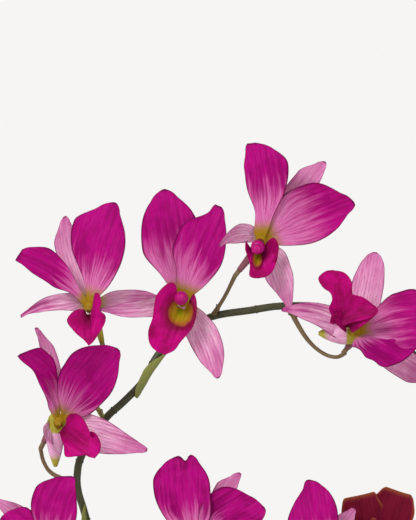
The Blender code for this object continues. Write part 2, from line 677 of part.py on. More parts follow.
def spray(name, row, ends, bud_roots, parts):
    """The stem of a spray with the stalks of its blooms and buds."""
    pieces = [rod(row["route"], STEM_RADII)]
    for letter, points in row["stalks"].items():
        end, way = ends[letter]
        stalk = smooth_route(points + [end + way * STALK_STRAIGHT], 2) + [end + way * SEAT]
        pieces.append(rod(stalk, (STALK_FOOT_RADIUS, STALK_RADIUS, STALK_RADIUS, STALK_END_RADIUS)))
    for values, (root, way) in zip(row["buds"], bud_roots):
        pieces.append(rod([values["base"], root - way * SEAT], (STALK_FOOT_RADIUS, STALK_RADIUS)))
    grown(name, pieces, STEM_OLIVE, 0.5, parts)


def cane_route(row):
    """A cane's middle line: upright out of the medium, then leaning to its top."""
    foot = np.array([*row["foot"], MEDIUM_TOP - HOLE_DEPTH + SEAT])
    top = np.asarray(row["top"], float)
    knee = np.array([*row["foot"], MEDIUM_TOP + 8])
    lean = np.array([(top[0] + 2 * foot[0]) / 3, (top[1] + 2 * foot[1]) / 3, (top[2] + knee[2]) / 2])
    return [foot, knee, lean, top]


def cane_radius(share, greatest):
    """Slim in the medium, thickest at two fifths of its height and slim again at the top."""
    shares = (0, 0.16, 0.42, 0.75, 1)
    radii = (CANE_NECK * greatest, CANE_NECK * greatest, greatest, 0.72 * greatest, 0.42 * greatest)
    return through(share, shares, radii)


def leafy_cane(name, row, parts):
    """A ringed cane with its leaves."""
    route = smooth_route(cane_route(row), 4)
    radii = []
    foot, top = route[0][2], route[-1][2]
    for point in route:
        height = point[2] - MEDIUM_TOP
        ring = math.sin(math.pi * height / CANE_NODE_SPACING) ** 8 if height > CANE_NODE_SPACING / 4 else 0
        radii.append(cane_radius((point[2] - foot) / (top - foot), row["radius"]) + CANE_RING * ring)
    pieces = [rod(route, radii, 2)]
    for height, direction, length, rise, drop, half in row["leaves"]:
        place = min(route, key=lambda p: abs(p[2] - height))
        heading = math.radians(direction)
        outward = np.array([math.cos(heading), math.sin(heading), 0])
        tip = place + outward * length + np.array([0, 0, rise - drop])
        widths = [half * share for share in LEAF_WIDTHS]
        shape = dict(bow=rise / 2 + drop / 4, cup=LEAF_CUP, claw=half / 2)
        points = blade_grid(place, (0, 0, 1), LEAF_GRID, tip, widths, widths, **shape)
        pieces.append(sheet(points, LEAF_THICKNESS))
    grown(name, pieces, CANE_GREEN, 0.4, parts)


def turned_shape(name, profile, colour, roughness, parts):
    """A shape turned about the pot's axis from a profile of (radius, height)."""
    mesh = bpy.data.meshes.new(name)
    points = [(r * MM, 0, z * MM) for r, z in profile]
    mesh.from_pydata(points, [(i, i + 1) for i in range(len(points) - 1)], [])
    obj = bpy.data.objects.new(name, mesh)
    parts.objects.link(obj)
    screw = obj.modifiers.new("turned", "SCREW")
    screw.steps = POT_STEPS
    screw.render_steps = POT_STEPS
    screw.use_merge_vertices = True
    screw.merge_threshold = 1e-5
    mesh.materials.append(material(name + "_finish", colour, roughness))
    return obj


def pot_inside(height):
    """The radius of the pot's inside at a height."""
    foot = POT_FOOT_RADIUS - POT_WALL + 1
    mouth = POT_RIM_RADIUS - POT_COLLAR_STEP - POT_WALL + 1
    return foot + (mouth - foot) * (height - POT_FLOOR) / (POT_HEIGHT - POT_FLOOR)


def pot(parts):
    """A tapered pot with a flat foot and a collar below its rim."""
    collar = POT_HEIGHT - POT_COLLAR_HEIGHT
    profile = [
        (0, POT_FLOOR),
        (pot_inside(POT_FLOOR), POT_FLOOR),
        (pot_inside(POT_HEIGHT - 2), POT_HEIGHT - 2),
        (pot_inside(POT_HEIGHT) + 1, POT_HEIGHT),
        (POT_RIM_RADIUS - 1.5, POT_HEIGHT),
        (POT_RIM_RADIUS, POT_HEIGHT - 1.5),
        (POT_RIM_RADIUS - 1, collar + 1),
        (POT_RIM_RADIUS - 2, collar),
        (POT_RIM_RADIUS - POT_COLLAR_STEP, collar),
        (POT_FOOT_RADIUS + 1, 1.2),
        (POT_FOOT_RADIUS, 0),
        (0, 0),
    ]
    return turned_shape("pot", profile, CLAY, 0.85, parts)


def upright_cone(low_radius, high_radius, low, high, sides):
    """A plain cone or cylinder about the pot's axis, between two heights."""
    bm = bmesh.new()
    place = Matrix.Translation((0, 0, (low + high) / 2 * MM))
    sizes = dict(radius1=low_radius * MM, radius2=high_radius * MM, depth=(high - low) * MM)
    bmesh.ops.create_cone(bm, cap_ends=True, segments=sides, matrix=place, **sizes)
    mesh = bpy.data.meshes.new("cone")
    bm.to_mesh(mesh)
    bm.free()
    return bpy.data.objects.new("cone", mesh)


def medium(parts):
    """The growing medium: it fills the pot, with a lumpy top and a plain hole for each cane."""
    bottom = POT_FLOOR + SEAT
    edge = pot_inside(MEDIUM_TOP) - MEDIUM_PLAY
    body = upright_cone(pot_inside(bottom) - MEDIUM_PLAY, edge, bottom, MEDIUM_TOP, MEDIUM_STEPS)
    body.name = "growing_medium"
    parts.objects.link(body)
    bm = bmesh.new()
    bm.from_mesh(body.data)
    top = max(bm.faces, key=lambda f: f.calc_center_median().z)
    for ring in range(1, MEDIUM_RINGS):
        scale = (MEDIUM_RINGS - ring) / (MEDIUM_RINGS - ring + 1)
        bmesh.ops.inset_region(bm, faces=[top], thickness=0, depth=0)
        for vert in top.verts:
            vert.co.x *= scale
            vert.co.y *= scale
    bmesh.ops.poke(bm, faces=[top])
    for vert in bm.verts:
        x, y = vert.co.x / MM, vert.co.y / MM
        if vert.co.z > (MEDIUM_TOP - 1) * MM and math.hypot(x, y) < edge - 2:
            lumps = math.sin(x * 0.42 + 1) * math.cos(y * 0.37) + 0.6 * math.sin(x * 0.9 - y * 0.8)
            vert.co.z += MEDIUM_RELIEF * lumps * MM
    bm.to_mesh(body.data)
    bm.free()
    cutters = collection("holes")
    for row in CANES.values():
        hole = (row["radius"] * CANE_NECK + HOLE_PLAY) / math.cos(math.pi / HOLE_SIDES)
        low, high = MEDIUM_TOP - HOLE_DEPTH, MEDIUM_TOP + HOLE_DEPTH
        cutter = upright_cone(hole, hole, low, high, HOLE_SIDES)
        cutter.data.transform(Matrix.Translation((row["foot"][0] * MM, row["foot"][1] * MM, 0)))
        cutters.objects.link(cutter)
    cut = body.modifiers.new("holes", "BOOLEAN")
    cut.operation = "DIFFERENCE"
    cut.operand_type = "COLLECTION"
    cut.collection = cutters
    graph = bpy.context.evaluated_depsgraph_get()
    mesh = bpy.data.meshes.new_from_object(body.evaluated_get(graph))
    body.modifiers.clear()
    body.data = mesh
    for cutter in list(cutters.objects):
        bpy.data.objects.remove(cutter)
    bpy.data.collections.remove(cutters)
    mesh.materials.clear()
    mesh.materials.append(material("growing_medium_finish", BARK, 0.95))


def main():
    clear_scene()
    parts = collection("dendrobium_orchid")
    pot(parts)
    medium(parts)
    for name, row in CANES.items():
        leafy_cane(name, row, parts)
    ends = {letter: bloom(letter, row, parts) for letter, row in BLOOMS.items()}
    for name, row in SPRAYS.items():
        side = name.split("_")[0]
        bud_roots = [bud(f"bud_{side}_{i}", values, parts) for i, values in enumerate(row["buds"], 1)]
        spray(name, row, ends, bud_roots, parts)


main()
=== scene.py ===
# %% [markdown]
# # A dendrobium orchid in its pot
#
# A potted dendrobium holds its blooms on long arching sprays. A spray is a thin dark stem that grows from the
# top of a ringed cane, and a bloom is five thin blades round a lip and a small column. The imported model
# already says where every piece is. Here each of its solids gets a finer, finished piece over it: curved
# petals with veins, a lip with its throat, stems with their bracts, leaves, a clay pot and loose bark.
#
# The frame comes first, and the box round it is kept, so that the finished pieces can be compared with it.

# %% Load the frame
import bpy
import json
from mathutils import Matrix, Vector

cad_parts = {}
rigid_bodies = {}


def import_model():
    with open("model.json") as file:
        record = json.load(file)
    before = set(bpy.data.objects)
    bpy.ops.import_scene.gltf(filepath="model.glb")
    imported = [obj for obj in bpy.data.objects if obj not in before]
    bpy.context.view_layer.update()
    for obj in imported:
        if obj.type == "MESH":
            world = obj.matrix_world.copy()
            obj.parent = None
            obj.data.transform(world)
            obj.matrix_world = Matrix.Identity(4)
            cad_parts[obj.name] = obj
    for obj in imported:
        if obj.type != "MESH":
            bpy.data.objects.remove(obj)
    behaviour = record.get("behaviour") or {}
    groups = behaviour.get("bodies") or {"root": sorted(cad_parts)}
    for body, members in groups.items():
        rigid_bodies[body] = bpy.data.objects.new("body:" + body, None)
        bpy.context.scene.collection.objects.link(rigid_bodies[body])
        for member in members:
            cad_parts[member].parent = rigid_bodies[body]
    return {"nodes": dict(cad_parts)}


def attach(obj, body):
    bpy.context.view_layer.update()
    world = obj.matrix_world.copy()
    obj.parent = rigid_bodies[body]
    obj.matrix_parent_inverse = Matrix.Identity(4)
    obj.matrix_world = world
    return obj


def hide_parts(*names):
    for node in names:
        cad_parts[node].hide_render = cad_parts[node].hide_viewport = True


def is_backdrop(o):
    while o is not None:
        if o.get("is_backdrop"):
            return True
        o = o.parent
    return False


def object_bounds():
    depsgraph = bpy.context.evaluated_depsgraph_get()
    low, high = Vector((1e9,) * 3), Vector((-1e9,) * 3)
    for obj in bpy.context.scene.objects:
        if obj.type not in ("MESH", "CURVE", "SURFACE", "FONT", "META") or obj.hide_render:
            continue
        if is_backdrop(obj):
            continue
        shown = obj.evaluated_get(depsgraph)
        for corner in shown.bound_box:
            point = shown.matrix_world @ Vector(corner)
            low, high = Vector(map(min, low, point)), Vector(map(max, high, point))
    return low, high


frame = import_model()
cad_box = [list(corner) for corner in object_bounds()]
print("nodes in the frame:", len(frame["nodes"]))

# %% [markdown]
# ## Units, and the sizes that the whole plant shares
#
# A bloom is about 70 mm across and its petals are a third of a millimetre thick, so sizes are written in
# millimetres and turned into metres only where a mesh is made. The sizes below are the ones that the solids
# follow too: how far apart the sepals and the petals sit on the bloom's axis, how thick the stems are, and
# where the half widths of a petal are given along it.

# %% Shared sizes
import json
import math

import bmesh
import bpy
import numpy as np
from mathutils import Matrix, Vector, noise

MM = 0.001
BODY = "root"
SEED = 11

POT_HEIGHT = 105.0
POT_FOOT_RADIUS = 43.0
POT_RIM_RADIUS = 58.0
POT_COLLAR_HEIGHT = 22.0
POT_COLLAR_STEP = 3.0
POT_WALL = 5.0
POT_FLOOR = 6.0
MEDIUM_TOP = 94.0
HOLE_DEPTH = 14.0

CANE_NODE_SPACING = 21.0
CANE_RING = 0.7
CANE_NECK = 0.66
LEAF_WIDTHS = (0.8, 1, 0.8, 0.42)
LEAF_CUP = 24

STEM_RADII = (2.0, 1.5, 1.5, 1.5, 1.5, 1.5, 1.5, 1.0)
STALK_RADII = (1.1, 0.8, 0.8, 1.0)
STALK_STRAIGHT = 2.5

SEPAL_BACK = -3.2
PETAL_FRONT = 1.8
SEPAL_HUB = (2.7, 3.1)
PETAL_HUB = (2.3, 1.5)
LIP_DROP = 4.6
LIP_FORWARD = 1.0
COLUMN_LENGTH = 7.5
COLUMN_RADII = (1.6, 1.9)
COLUMN_HEAD_RADII = (2.6, 3.2, 2.6)
CAP = (2.6, 2.1)
OVARY_RADII = (1.9, 1.6, 1.1)
CHIN_RADII = (2.4, 2.7, 2.9, 2.7, 2.2, 1.5, 0.7)

STATIONS = (0.0, 0.1, 0.25, 0.5, 0.75, 0.9, 1.0)
ROOT_HALF_WIDTH = 1.3
print("from a bloom's middle to the end of its column, mm:", PETAL_FRONT + COLUMN_LENGTH)

# %% [markdown]
# ## Where every bloom, stem and cane is
#
# These tables are the plant's layout, the same that the solids are built from, in millimetres from the
# middle of the pot's foot. A bloom has a middle, a direction that it faces and the tips and half widths of
# its blades. Blooms could be copies of one another, but on a real spray no two are alike, so each has its own
# row here, and is turned or reshaped here and nowhere else.

# %% The blooms
def row(tip, left, right=None, **shape):
    """A petal or sepal: its tip, and its half widths on either side, seen with the tip upward."""
    return dict(tip=tip, left=left, right=right or left, **shape)


# each bloom: its middle (x, z) and how far that is in front of the pot's axis, which way it looks (right,
# forward, up), which way is up in it, then its parts. A lip's left and right are its outline on that side,
# as (along, sideways) from its root, and its throat is the pocket: its place (along, right) and half sizes.
# reach and cap are the shares of a plain column's length and thickness, and pale shifts the colour. The
# number that darkens adds darker patches to a blade, partly a darker tone and partly painted shade, and
# painted shade to a lip towards its hinge.
PLAIN_LIP = [
    (-1.4, 3.2), (-5, 4), (-7.6, 5.6), (-6.4, 8), (-2, 9), (2.6, 8.4), (6.4, 6.4), (10, 6.8), (13.6, 4.6),
]
BLOOMS = {
    "a": dict(
        middle=(-46.8, 385.6), forward=8, face=(-0.3, 0.9, -0.2), up=(0, 1),
        petals=[
            row((9.7, 41.3, 4), (3.6, 10.4, 12.2, 6.2), (8.0, 11.5, 9.3, 4.7), sway=-2.2, claw=(1.4, 3.6)),
            row(
                (-28.4, 20.4, 9), (2.2, 5.2, 5, 3.4), (2.2, 5.4, 7, 5.4), sway=3.0, roll=35, end=2.6,
                claw=(1.6, 1.2),
            ),
        ],
        sepals=[
            row((-10.4, 35.9, -6), (3.4, 4.8, 5.4, 3.0), (3.4, 4.8, 5.2, 3.0), sway=-3),
            row(
                (-27.6, -4, 6), (3.6, 3.1, 2.2, 1.0), (3.8, 3.4, 2.4, 1.0), sway=2.6, late=1.4, cup=35,
                deep=0.5,
            ),
            row((28, 2.8, -6), (3.6, 3.8, 3.2, 2.0), sway=-1.2),
        ],
        lip=dict(
            tip=(-0.4, -15.4, 9), lift=(4, 2), before=4, deep=0.65,
            left=[(-3.4, 1.4), (-7, 1.6), (-10, 2.2), (-9.8, 3.9), (-6.4, 4.8), (-3.6, 4), (-1.2, 6.4),
                  (2, 6.1), (6.1, 3.8), (9.3, 1.6)],
            right=[(-3.3, 1.7), (-3.6, 4.5), (-1.9, 7.3), (1.3, 8.8), (5.6, 5.4), (8.3, 2.1)],
        ),
        column=(0.2, -0.3), reach=0.15, cap=0.5, ovary=(4.4, -14.2, -4), ovary_shade=0.04, chin=(2, -8, -3),
    ),
    "b": dict(
        middle=(-10, 388), forward=6, face=(-0.1, 0.97, -0.15), up=(0.05, 1),
        petals=[
            row((-7.7, 44.2, 1), (6.6, 12.2, 10.4, 6.2), (6.4, 11.0, 10.3, 5.6), claw=3.4, pale=0.15),
            row((14.2, 37.6, 7), (6.2, 11.2, 9.6, 3.0), (6.8, 9.6, 7.4, 4.4), claw=3.6, bow=2, end=1.4),
        ],
        sepals=[
            row((4, 34, -9), (3, 4, 4, 2)),
            row((-33, -3.7, 4), (4, 3.5, 2.6, 1.2), sway=-1.7, cup=30),
            row((14.1, -31.2, -2), (4.4, 6.2, 5.4, 3.0), (6, 6.4, 5, 2.4), sway=-1.6),
        ],
        lip=dict(
            tip=(-7, -21.6, 10), lift=(4, 6), throat=(0.4, 0.4, 5.2, 4.8),
            left=[(-3.4, 1.5), (-6.3, 1.4), (-8.6, 1.8), (-6.1, 3.9), (-1.6, 5.6), (2.9, 6.2), (6.7, 5.5),
                  (11.2, 3.8), (15, 2.8)],
            right=[(-1.8, 3.2), (-5.4, 4.2), (-8.6, 5.6), (-9.6, 8), (-7, 10.4), (-2.4, 11.9), (2, 11.2),
                   (6.4, 10.1), (11.8, 9.7), (16.1, 7.5), (18, 4.1)],
        ),
        column=(0.1, 2.6), ovary=(2, -11, -6), chin=(-1, -9, -4),
    ),
    "c": dict(
        middle=(21.6, 412), forward=14, face=(-0.35, 0.9, -0.25), up=(0.1, 1),
        petals=[
            row(
                (-4.2, 38.4, 2), (2.6, 4.6, 5.4, 3.4), (5.6, 11.6, 14.6, 10), sway=1.6, claw=3, end=1.6,
                pale=0.16,
            ),
            row((36.6, 14.4, 2), (11.0, 14.8, 13.0, 6.6), (6.0, 8.4, 6.6, 3.0), claw=3.4, pale=0.2),
        ],
        sepals=[
            row((25.3, 31.1, -8), (3.6, 6, 6.2, 3.2), (3.6, 4.4, 3.6, 2.2), end=0.3),
            row((-17.1, -2.4, 12), (3.6, 3.8, 2.5, 1.2), (3.6, 4.2, 2.7, 1.2), bow=-3, sway=2.6),
            row((10.8, -27.6, -2), (5.6, 6.2, 4.4, 2.6), (5.0, 6.0, 3.4, 1.6), sway=-0.8),
        ],
        lip=dict(
            tip=(-1.6, -15.2, 9), lift=(7, 4), throat=(2.6, 1.0, 3.4, 1.7), deep=0.8,
            left=[(-0.6, 1.1), (-3, 1.7), (-5.2, 3.2), (-6, 5), (-3.2, 6.9), (0.7, 7), (3.9, 6.5), (7.3, 5.3),
                  (9.5, 3.1)],
            right=[(-0.6, 1.9), (-1.7, 4.2), (-3.6, 6), (-0.7, 6.1), (2.4, 4.9), (5.5, 3.8), (9.5, 3.8),
                   (10.5, 2)],
        ),
        column=(1, -1.2), ovary=(-9.2, -12.2, -5), chin=(-4, -8, -3),
    ),
    "d": dict(
        middle=(58.8, 375.2), forward=12, face=(-0.3, 0.85, 0.2), up=(0.8, -0.55),
        petals=[
            row((35.2, 5.6, 4), (7.4, 12.8, 12.4, 7.0), (5.0, 10.6, 10.8, 6.0), claw=3.4, pale=0.1),
            row((17.4, -11.4, 14), (5, 9, 11, 11), (9, 10.4, 12, 12), roll=-50, end=8.4, ruffle=1.0),
        ],
        sepals=[
            row((30, -18, -6), (4, 5, 4.6, 3), (5, 6.4, 6.6, 4.4)),
            row((8.1, 31.9, -10), (5.6, 7.2, 6.2, 4.2), (5.6, 6.4, 5.6, 4.0), sway=0.5),
            row((-29.6, 9.1, 5), (7, 5.6, 3.6, 1.6), (4.4, 3.9, 3.0, 1.6), sway=3.4, deep=0.5),
        ],
        lip=dict(
            tip=(-9.6, 24.8, 9), lift=(3, 5), before=4, deep=0.3,
            left=[(-2.9, 1), (0.2, 3.1), (4.3, 4.5), (8.2, 5.1), (11.3, 3), (14.2, 3.1), (16.9, 5.3),
                  (20.9, 6.3), (22.9, 2.9)],
            right=[(-3.4, 1), (-2.2, 4.6), (-0.2, 9.3), (2.4, 13.4), (6.2, 11.7), (9.5, 8.9), (10.4, 5.6),
                   (13.2, 5.7), (16.8, 6.2), (20.6, 4.3)],
            flaps=[
                row((8.4, 8.8, 13.6), (5, 6.4, 5.6, 3), (1.6, 2, 2, 1.4), deep=0.9),
                row((-10, 6.6, 12), (1.6, 2.4, 2.6, 2), (2.4, 3, 2.8, 1.6), deep=0.7),
            ],
        ),
        column=(-0.2, 0.2), reach=0.15, cap=0.5, ovary=(-3.4, -6.4, -5), chin=(-14.8, -0.4, -3),
        chin_width=1.5,
    ),
    "e": dict(
        middle=(-60, 339.6), forward=8, face=(0.35, 0.9, -0.15), up=(-0.35, 0.95),
        petals=[
            row((24.4, 28.9, 4), (9.4, 14.8, 14.6, 9.0), (7.4, 8.9, 7.0, 3.6), claw=(2.2, 3.4), pale=-0.08),
            row(
                (-14.9, 26.8, 9), (4.6, 4.4, 3.2, 2.4), (3.0, 4.6, 7.6, 7.6), sway=4.5, late=1.5, roll=20,
                claw=(2.6, 1.2),
            ),
        ],
        sepals=[
            row((-8.8, 37.4, -6), (2.4, 3.0, 2.8, 1.4), (2.4, 3.2, 3.2, 1.6), sway=3.4),
            row((35.8, -11.4, 0), (7.2, 7.0, 4.2, 2.2), (7.2, 6.8, 4.4, 2.2), sway=0.5),
            row((-1.5, -8, 15), (2.6, 3.4, 2.6, 1.4), bow=-3.4),
        ],
        lip=dict(
            tip=(15.2, -14, 10), lift=(4, 2), before=4, deep=0.2,
            left=[(-0.8, 3.2), (-2.1, 5.8), (-1.6, 8.5), (1.2, 10.1), (4.5, 9.5), (8.5, 7.4), (10.9, 6.1),
                  (11.7, 7.7), (14.6, 6.4), (16.4, 3.4)],
            right=[(-1.2, 0.8), (0.9, 2), (3.5, 3.5), (6.5, 6.3), (9.7, 4), (12.5, 1.4), (14.3, 0.9)],
            flaps=[row((16.4, -8, 11), (1.6, 2.2, 4, 3.4), (2.4, 3.4, 4.6, 3.6), end=1.6, deep=0.3)],
        ),
        column=(-0.4, -0.2), reach=0.15, cap=0.5, ovary=(-5.6, -8.4, -4), chin=(-0.8, -18, -1),
        chin_width=1.25,
    ),
    "f": dict(
        middle=(-60.8, 287.2), forward=18, face=(-0.1, 0.95, -0.1), up=(-0.1, 1),
        petals=[
            row((7.2, 31.2, 4), (6, 10, 11, 7.6), (6, 8.4, 6, 3), sway=-3, claw=3),
            row((-21, 15, 6), (5, 9, 9, 6), roll=30),
        ],
        sepals=[
            row((-23.6, 21.6, -2), (3, 4, 3.6, 2), sway=2),
            row((-20, -16, 4), (4, 5, 4, 2)),
            row((16, -24, 2), (4, 5, 4, 2)),
        ],
        lip=dict(tip=(-2, -18, 10)),
        column=(0, 0), ovary=(3, -8, -7), chin=(-1, -10, -4),
    ),
    "g": dict(
        middle=(-4.4, 290), forward=22, face=(-0.2, 0.95, -0.1), up=(0.4, 0.9),
        petals=[
            row(
                (-4.8, 37.0, 4), (7.0, 11.4, 12.4, 9.4), (7.6, 10.4, 9.8, 6.6), sway=-1.5, claw=3, end=3,
                notch=2.2, deep=0.3,
            ),
            row((26.9, 16, 6), (11, 16, 15, 8.6), (6, 8, 6, 3.4), claw=3, deep=0.3),
        ],
        sepals=[
            row((17.2, 29.5, -6), (3, 5.4, 6, 3), (3, 3.6, 2.4, 1.4)),
            row((-25, -8, 4), (4, 5, 4, 2)),
            row((8, -28, 2), (4, 5.4, 4.4, 2.2)),
        ],
        lip=dict(tip=(-6, -18, 10)),
        column=(0, 0), ovary=(2, -9, -7), chin=(-3, -9, -4),
    ),
    "h": dict(
        middle=(44, 285.6), forward=26, face=(0.1, 0.95, -0.1), up=(0.1, 1),
        petals=[
            row((-4.7, 31.8, 4), (8, 10.8, 6.8, 2.6), (7, 9.6, 8.6, 5.4), claw=3),
            row((28, 5, 6), (6, 10, 10, 6), (4, 8.4, 9.6, 6), roll=-20),
        ],
        sepals=[
            row((14, 20, -6), (3, 5, 4, 2)),
            row((-24, -6, 4), (4, 5, 4, 2)),
            row((12, -27, 2), (4, 5.4, 4.4, 2.2)),
        ],
        lip=dict(tip=(-4, -18, 10)),
        column=(0, 0), ovary=(-2, -8, -7), chin=(-3, -9, -4),
    ),
    "i": dict(
        middle=(66, 283), forward=14, face=(0.1, -0.85, -0.25), up=(0, 1), faded=True,
        petals=[
            row((-6, 27.6, 1), (5, 8, 8.4, 7.2), (5, 8, 8.6, 7.6), claw=2.6, end=6),
            row((9.4, 29.4, 2), (5, 8, 9, 7.4), (5, 8, 9.4, 7.4), claw=2.6, end=5),
        ],
        sepals=[
            row((-0.6, 19, 9), (3, 4, 3, 1.6)),
            row((-20, -10, 6), (3, 4, 3, 1.6)),
            row((18, -13, 6), (3, 4, 3, 1.6)),
        ],
        lip=dict(tip=(2, -16, -9)),
        column=(0, 0.6), ovary=(-3, -8, 4), chin=(0, -8, 3),
    ),
    "j": dict(
        middle=(126, 350), forward=10, face=(0.35, 0.9, -0.1), up=(0, 1),
        petals=[
            row((-16, 34, 4), (6, 10, 10, 5.6), (6.4, 10.8, 11, 6.0), claw=3.4),
            row((31, 22, 4), (7, 12, 12, 6.0), (6.2, 10, 9.4, 5.0), claw=3.4),
        ],
        sepals=[
            row((8, 35, -6), (3.4, 4.6, 4.2, 2.2)),
            row((-27, -14, 0), (4.4, 5.4, 4.2, 2.0), sway=1),
            row((20, -26, 0), (4.4, 5.6, 4.6, 2.2), sway=-1),
        ],
        lip=dict(tip=(3, -20, 11)),
        column=(-1.6, 0.8), ovary=(-4, -9, -7), chin=(-1, -10, -4),
    ),
    "k": dict(
        middle=(109, 266), forward=24, face=(0.2, 0.92, -0.25), up=(0.1, 1),
        petals=[
            row((-19, 28, 5), (6, 10, 9.4, 5.0), (6.4, 10.8, 10.4, 5.6), claw=3.2),
            row((28, 20, 5), (6.6, 11.4, 11, 5.8), (6, 9.4, 9, 4.6), claw=3.2),
        ],
        sepals=[
            row((5, 33, -5), (3.4, 4.6, 4.2, 2.2)),
            row((-24, -13, 2), (4.4, 5.4, 4.2, 2.0), sway=1),
            row((18, -24, 2), (4.4, 5.6, 4.6, 2.2), sway=-1),
        ],
        lip=dict(tip=(2, -19, 12)),
        column=(-0.8, 0.6), ovary=(-5, -8, -7), chin=(-2, -10, -4),
    ),
}
print("blooms:", ", ".join(BLOOMS))

# %% The sprays and the canes
# each spray: the stem's route (x, y, z), for each bloom the stalk's route from the stem up to the bloom, the
# long sheaths on the stem (foot, top, the way each faces, half width) and the buds
SPRAYS = {
    "upper_spray_stem": dict(
        route=[
            (-28, 8, 229), (-32, 8.4, 243), (-38, 8.6, 262), (-44, 8.4, 281), (-49.4, 7, 302),
            (-52, 5, 311), (-52.4, 4, 318), (-50.4, 4, 326), (-41.4, 4, 340), (-34, 4, 347),
            (-26, 4.4, 355.4), (-20, 5, 366), (-10.6, 5.6, 375.6), (2, 6, 381.4), (16.8, 6.2, 383.8),
            (30, 6.4, 385.6), (46.8, 6.6, 384.8), (65, 6.6, 378), (81.4, 6, 367), (97, 5, 352),
            (112, 4, 336), (125, 3, 317), (134, 2, 298), (139, 1, 281),
        ],
        stalks={
            "a": [(-41.4, 4, 340), (-44.6, 2.4, 346), (-44.4, 0, 356)],
            "b": [(-12.5, 5.6, 374), (-9.5, 2.4, 375)],
            "c": [(1.5, 6, 381.2), (6.5, 0, 389)],
            "d": [
                (32, 6.4, 385.6), (37.6, 3, 375.4), (42, 1.4, 369.8), (47, 0.4, 366.2), (51.4, -1, 365.2),
                (54.4, -4, 366.6),
            ],
            "e": [(-52.6, 4.2, 314), (-62.2, 2, 318.4), (-65.6, 0, 323), (-66.8, -2.4, 328)],
            "f": [(-44, 8.4, 281), (-49.6, 3, 279.4), (-56, -6, 278)],
            "j": [(108, 4.4, 340.4), (116, 2.4, 339)],
        },
        sheaths=[
            ((-28.3, 2.6, 349.2), (-16.6, 3.2, 366.6), (0.8, -0.5, -0.6), 2.8),
            ((-46.8, 6.4, 291), (-49.4, 4.6, 306), (0.9, -0.4, 0), 1.8),
        ],
        buds=[
            dict(base=(138, 1, 286), tip=(155, -11, 294), length=15, radius=5.0),
            dict(base=(130, 2.4, 308), tip=(149, -12, 318), length=17, radius=5.8),
            dict(base=(139, 1, 281), tip=(140, -2, 265), length=10, radius=3.4),
        ],
    ),
    "lower_spray_stem": dict(
        route=[
            (-4, -10, 219), (-5.6, -10.6, 234), (-5.4, -11, 250), (1, -11, 262), (12, -11, 268.4),
            (26, -11, 271), (42, -11, 271), (58, -10.6, 268), (74, -10, 262), (90, -9.4, 252.6),
            (104, -9, 240), (114, -9, 224), (119, -9, 207),
        ],
        stalks={
            "g": [(-5, -11, 252.6), (-6, -12.4, 264), (-4, -14, 273)],
            "h": [(22, -11, 270.6), (33, -14, 275)],
            "i": [(54, -10.8, 269), (60, -13.4, 270.5)],
            "k": [(88, -9.6, 254), (97.5, -13, 254.4)],
        },
        buds=[
            dict(base=(113, -9, 226.6), tip=(131, -20, 231), length=15, radius=5.2),
            dict(base=(108.6, -9, 234), tip=(92, -18, 220), length=16, radius=5.6),
            dict(base=(119, -9, 207), tip=(119, -12, 191), length=10, radius=3.4),
        ],
    ),
}

# each cane: foot (x, y), top (x, y, z), greatest radius, and its leaves as
# (height on the cane, direction in degrees from +X, length, rise, drop of the tip, half width)
CANES = {
    "flowering_cane_left": dict(
        foot=(-15, 9), top=(-28, 8, 228.6), radius=7.6,
        leaves=[(172, 165, 96, 40, 26, 12.5), (196, 225, 92, 44, 22, 12), (212, 120, 84, 38, 22, 11)],
    ),
    "flowering_cane_middle": dict(
        foot=(8, -9), top=(-4, -10, 218.6), radius=7.2,
        leaves=[(164, 305, 96, 36, 30, 12.5), (186, 252, 92, 30, 34, 12), (204, 280, 80, 24, 34, 11)],
    ),
    "leafy_cane_back": dict(
        foot=(10, 22), top=(17, 34, 206), radius=7.0,
        leaves=[(150, 45, 100, 44, 26, 13), (168, 95, 104, 46, 24, 13), (186, 15, 98, 50, 20, 12.5),
                (200, 70, 92, 56, 12, 11.5)],
    ),
    "young_shoot_right": dict(
        foot=(31, -2), top=(41, -4, 150), radius=5.6,
        leaves=[(118, 325, 84, 40, 22, 12), (132, 35, 90, 42, 22, 12.5), (144, 350, 76, 40, 16, 11)],
    ),
}
print("sprays:", len(SPRAYS), " canes:", len(CANES))

# %% [markdown]
# ## Thin curved blades
#
# A petal, a sepal and a leaf are the same kind of thing: a thin skin that is narrow at its root, widest in
# the middle and drawn to a tip, raised at its edges and arched along its length. Modelling one by hand and
# bending copies would lose the outlines, which differ on every bloom, so each blade is a grid of points from
# its own tip and half widths. Rows run from root to tip. The relief along the grid is real geometry: a
# furrow down the middle, low ribs that fan out from the root, and an edge that waves a little.

# %% Small helpers for directions and smooth curves
def unit(v):
    v = np.asarray(v, float)
    return v / np.linalg.norm(v)


def turned(v, axis, degrees):
    """v turned about axis."""
    a = math.radians(degrees)
    axis = unit(axis)
    return v * math.cos(a) + np.cross(axis, v) * math.sin(a) + axis * np.dot(axis, v) * (1 - math.cos(a))


def on_bloom(offset):
    """(right, up, forward) from a bloom's middle as x, y, z."""
    return np.array([offset[0], -offset[2], offset[1]], float)


def ease(x, low, high):
    """0 below low, 1 above high and smooth between."""
    x = np.clip((np.asarray(x, float) - low) / (high - low), 0, 1)
    return x * x * (3 - 2 * x)


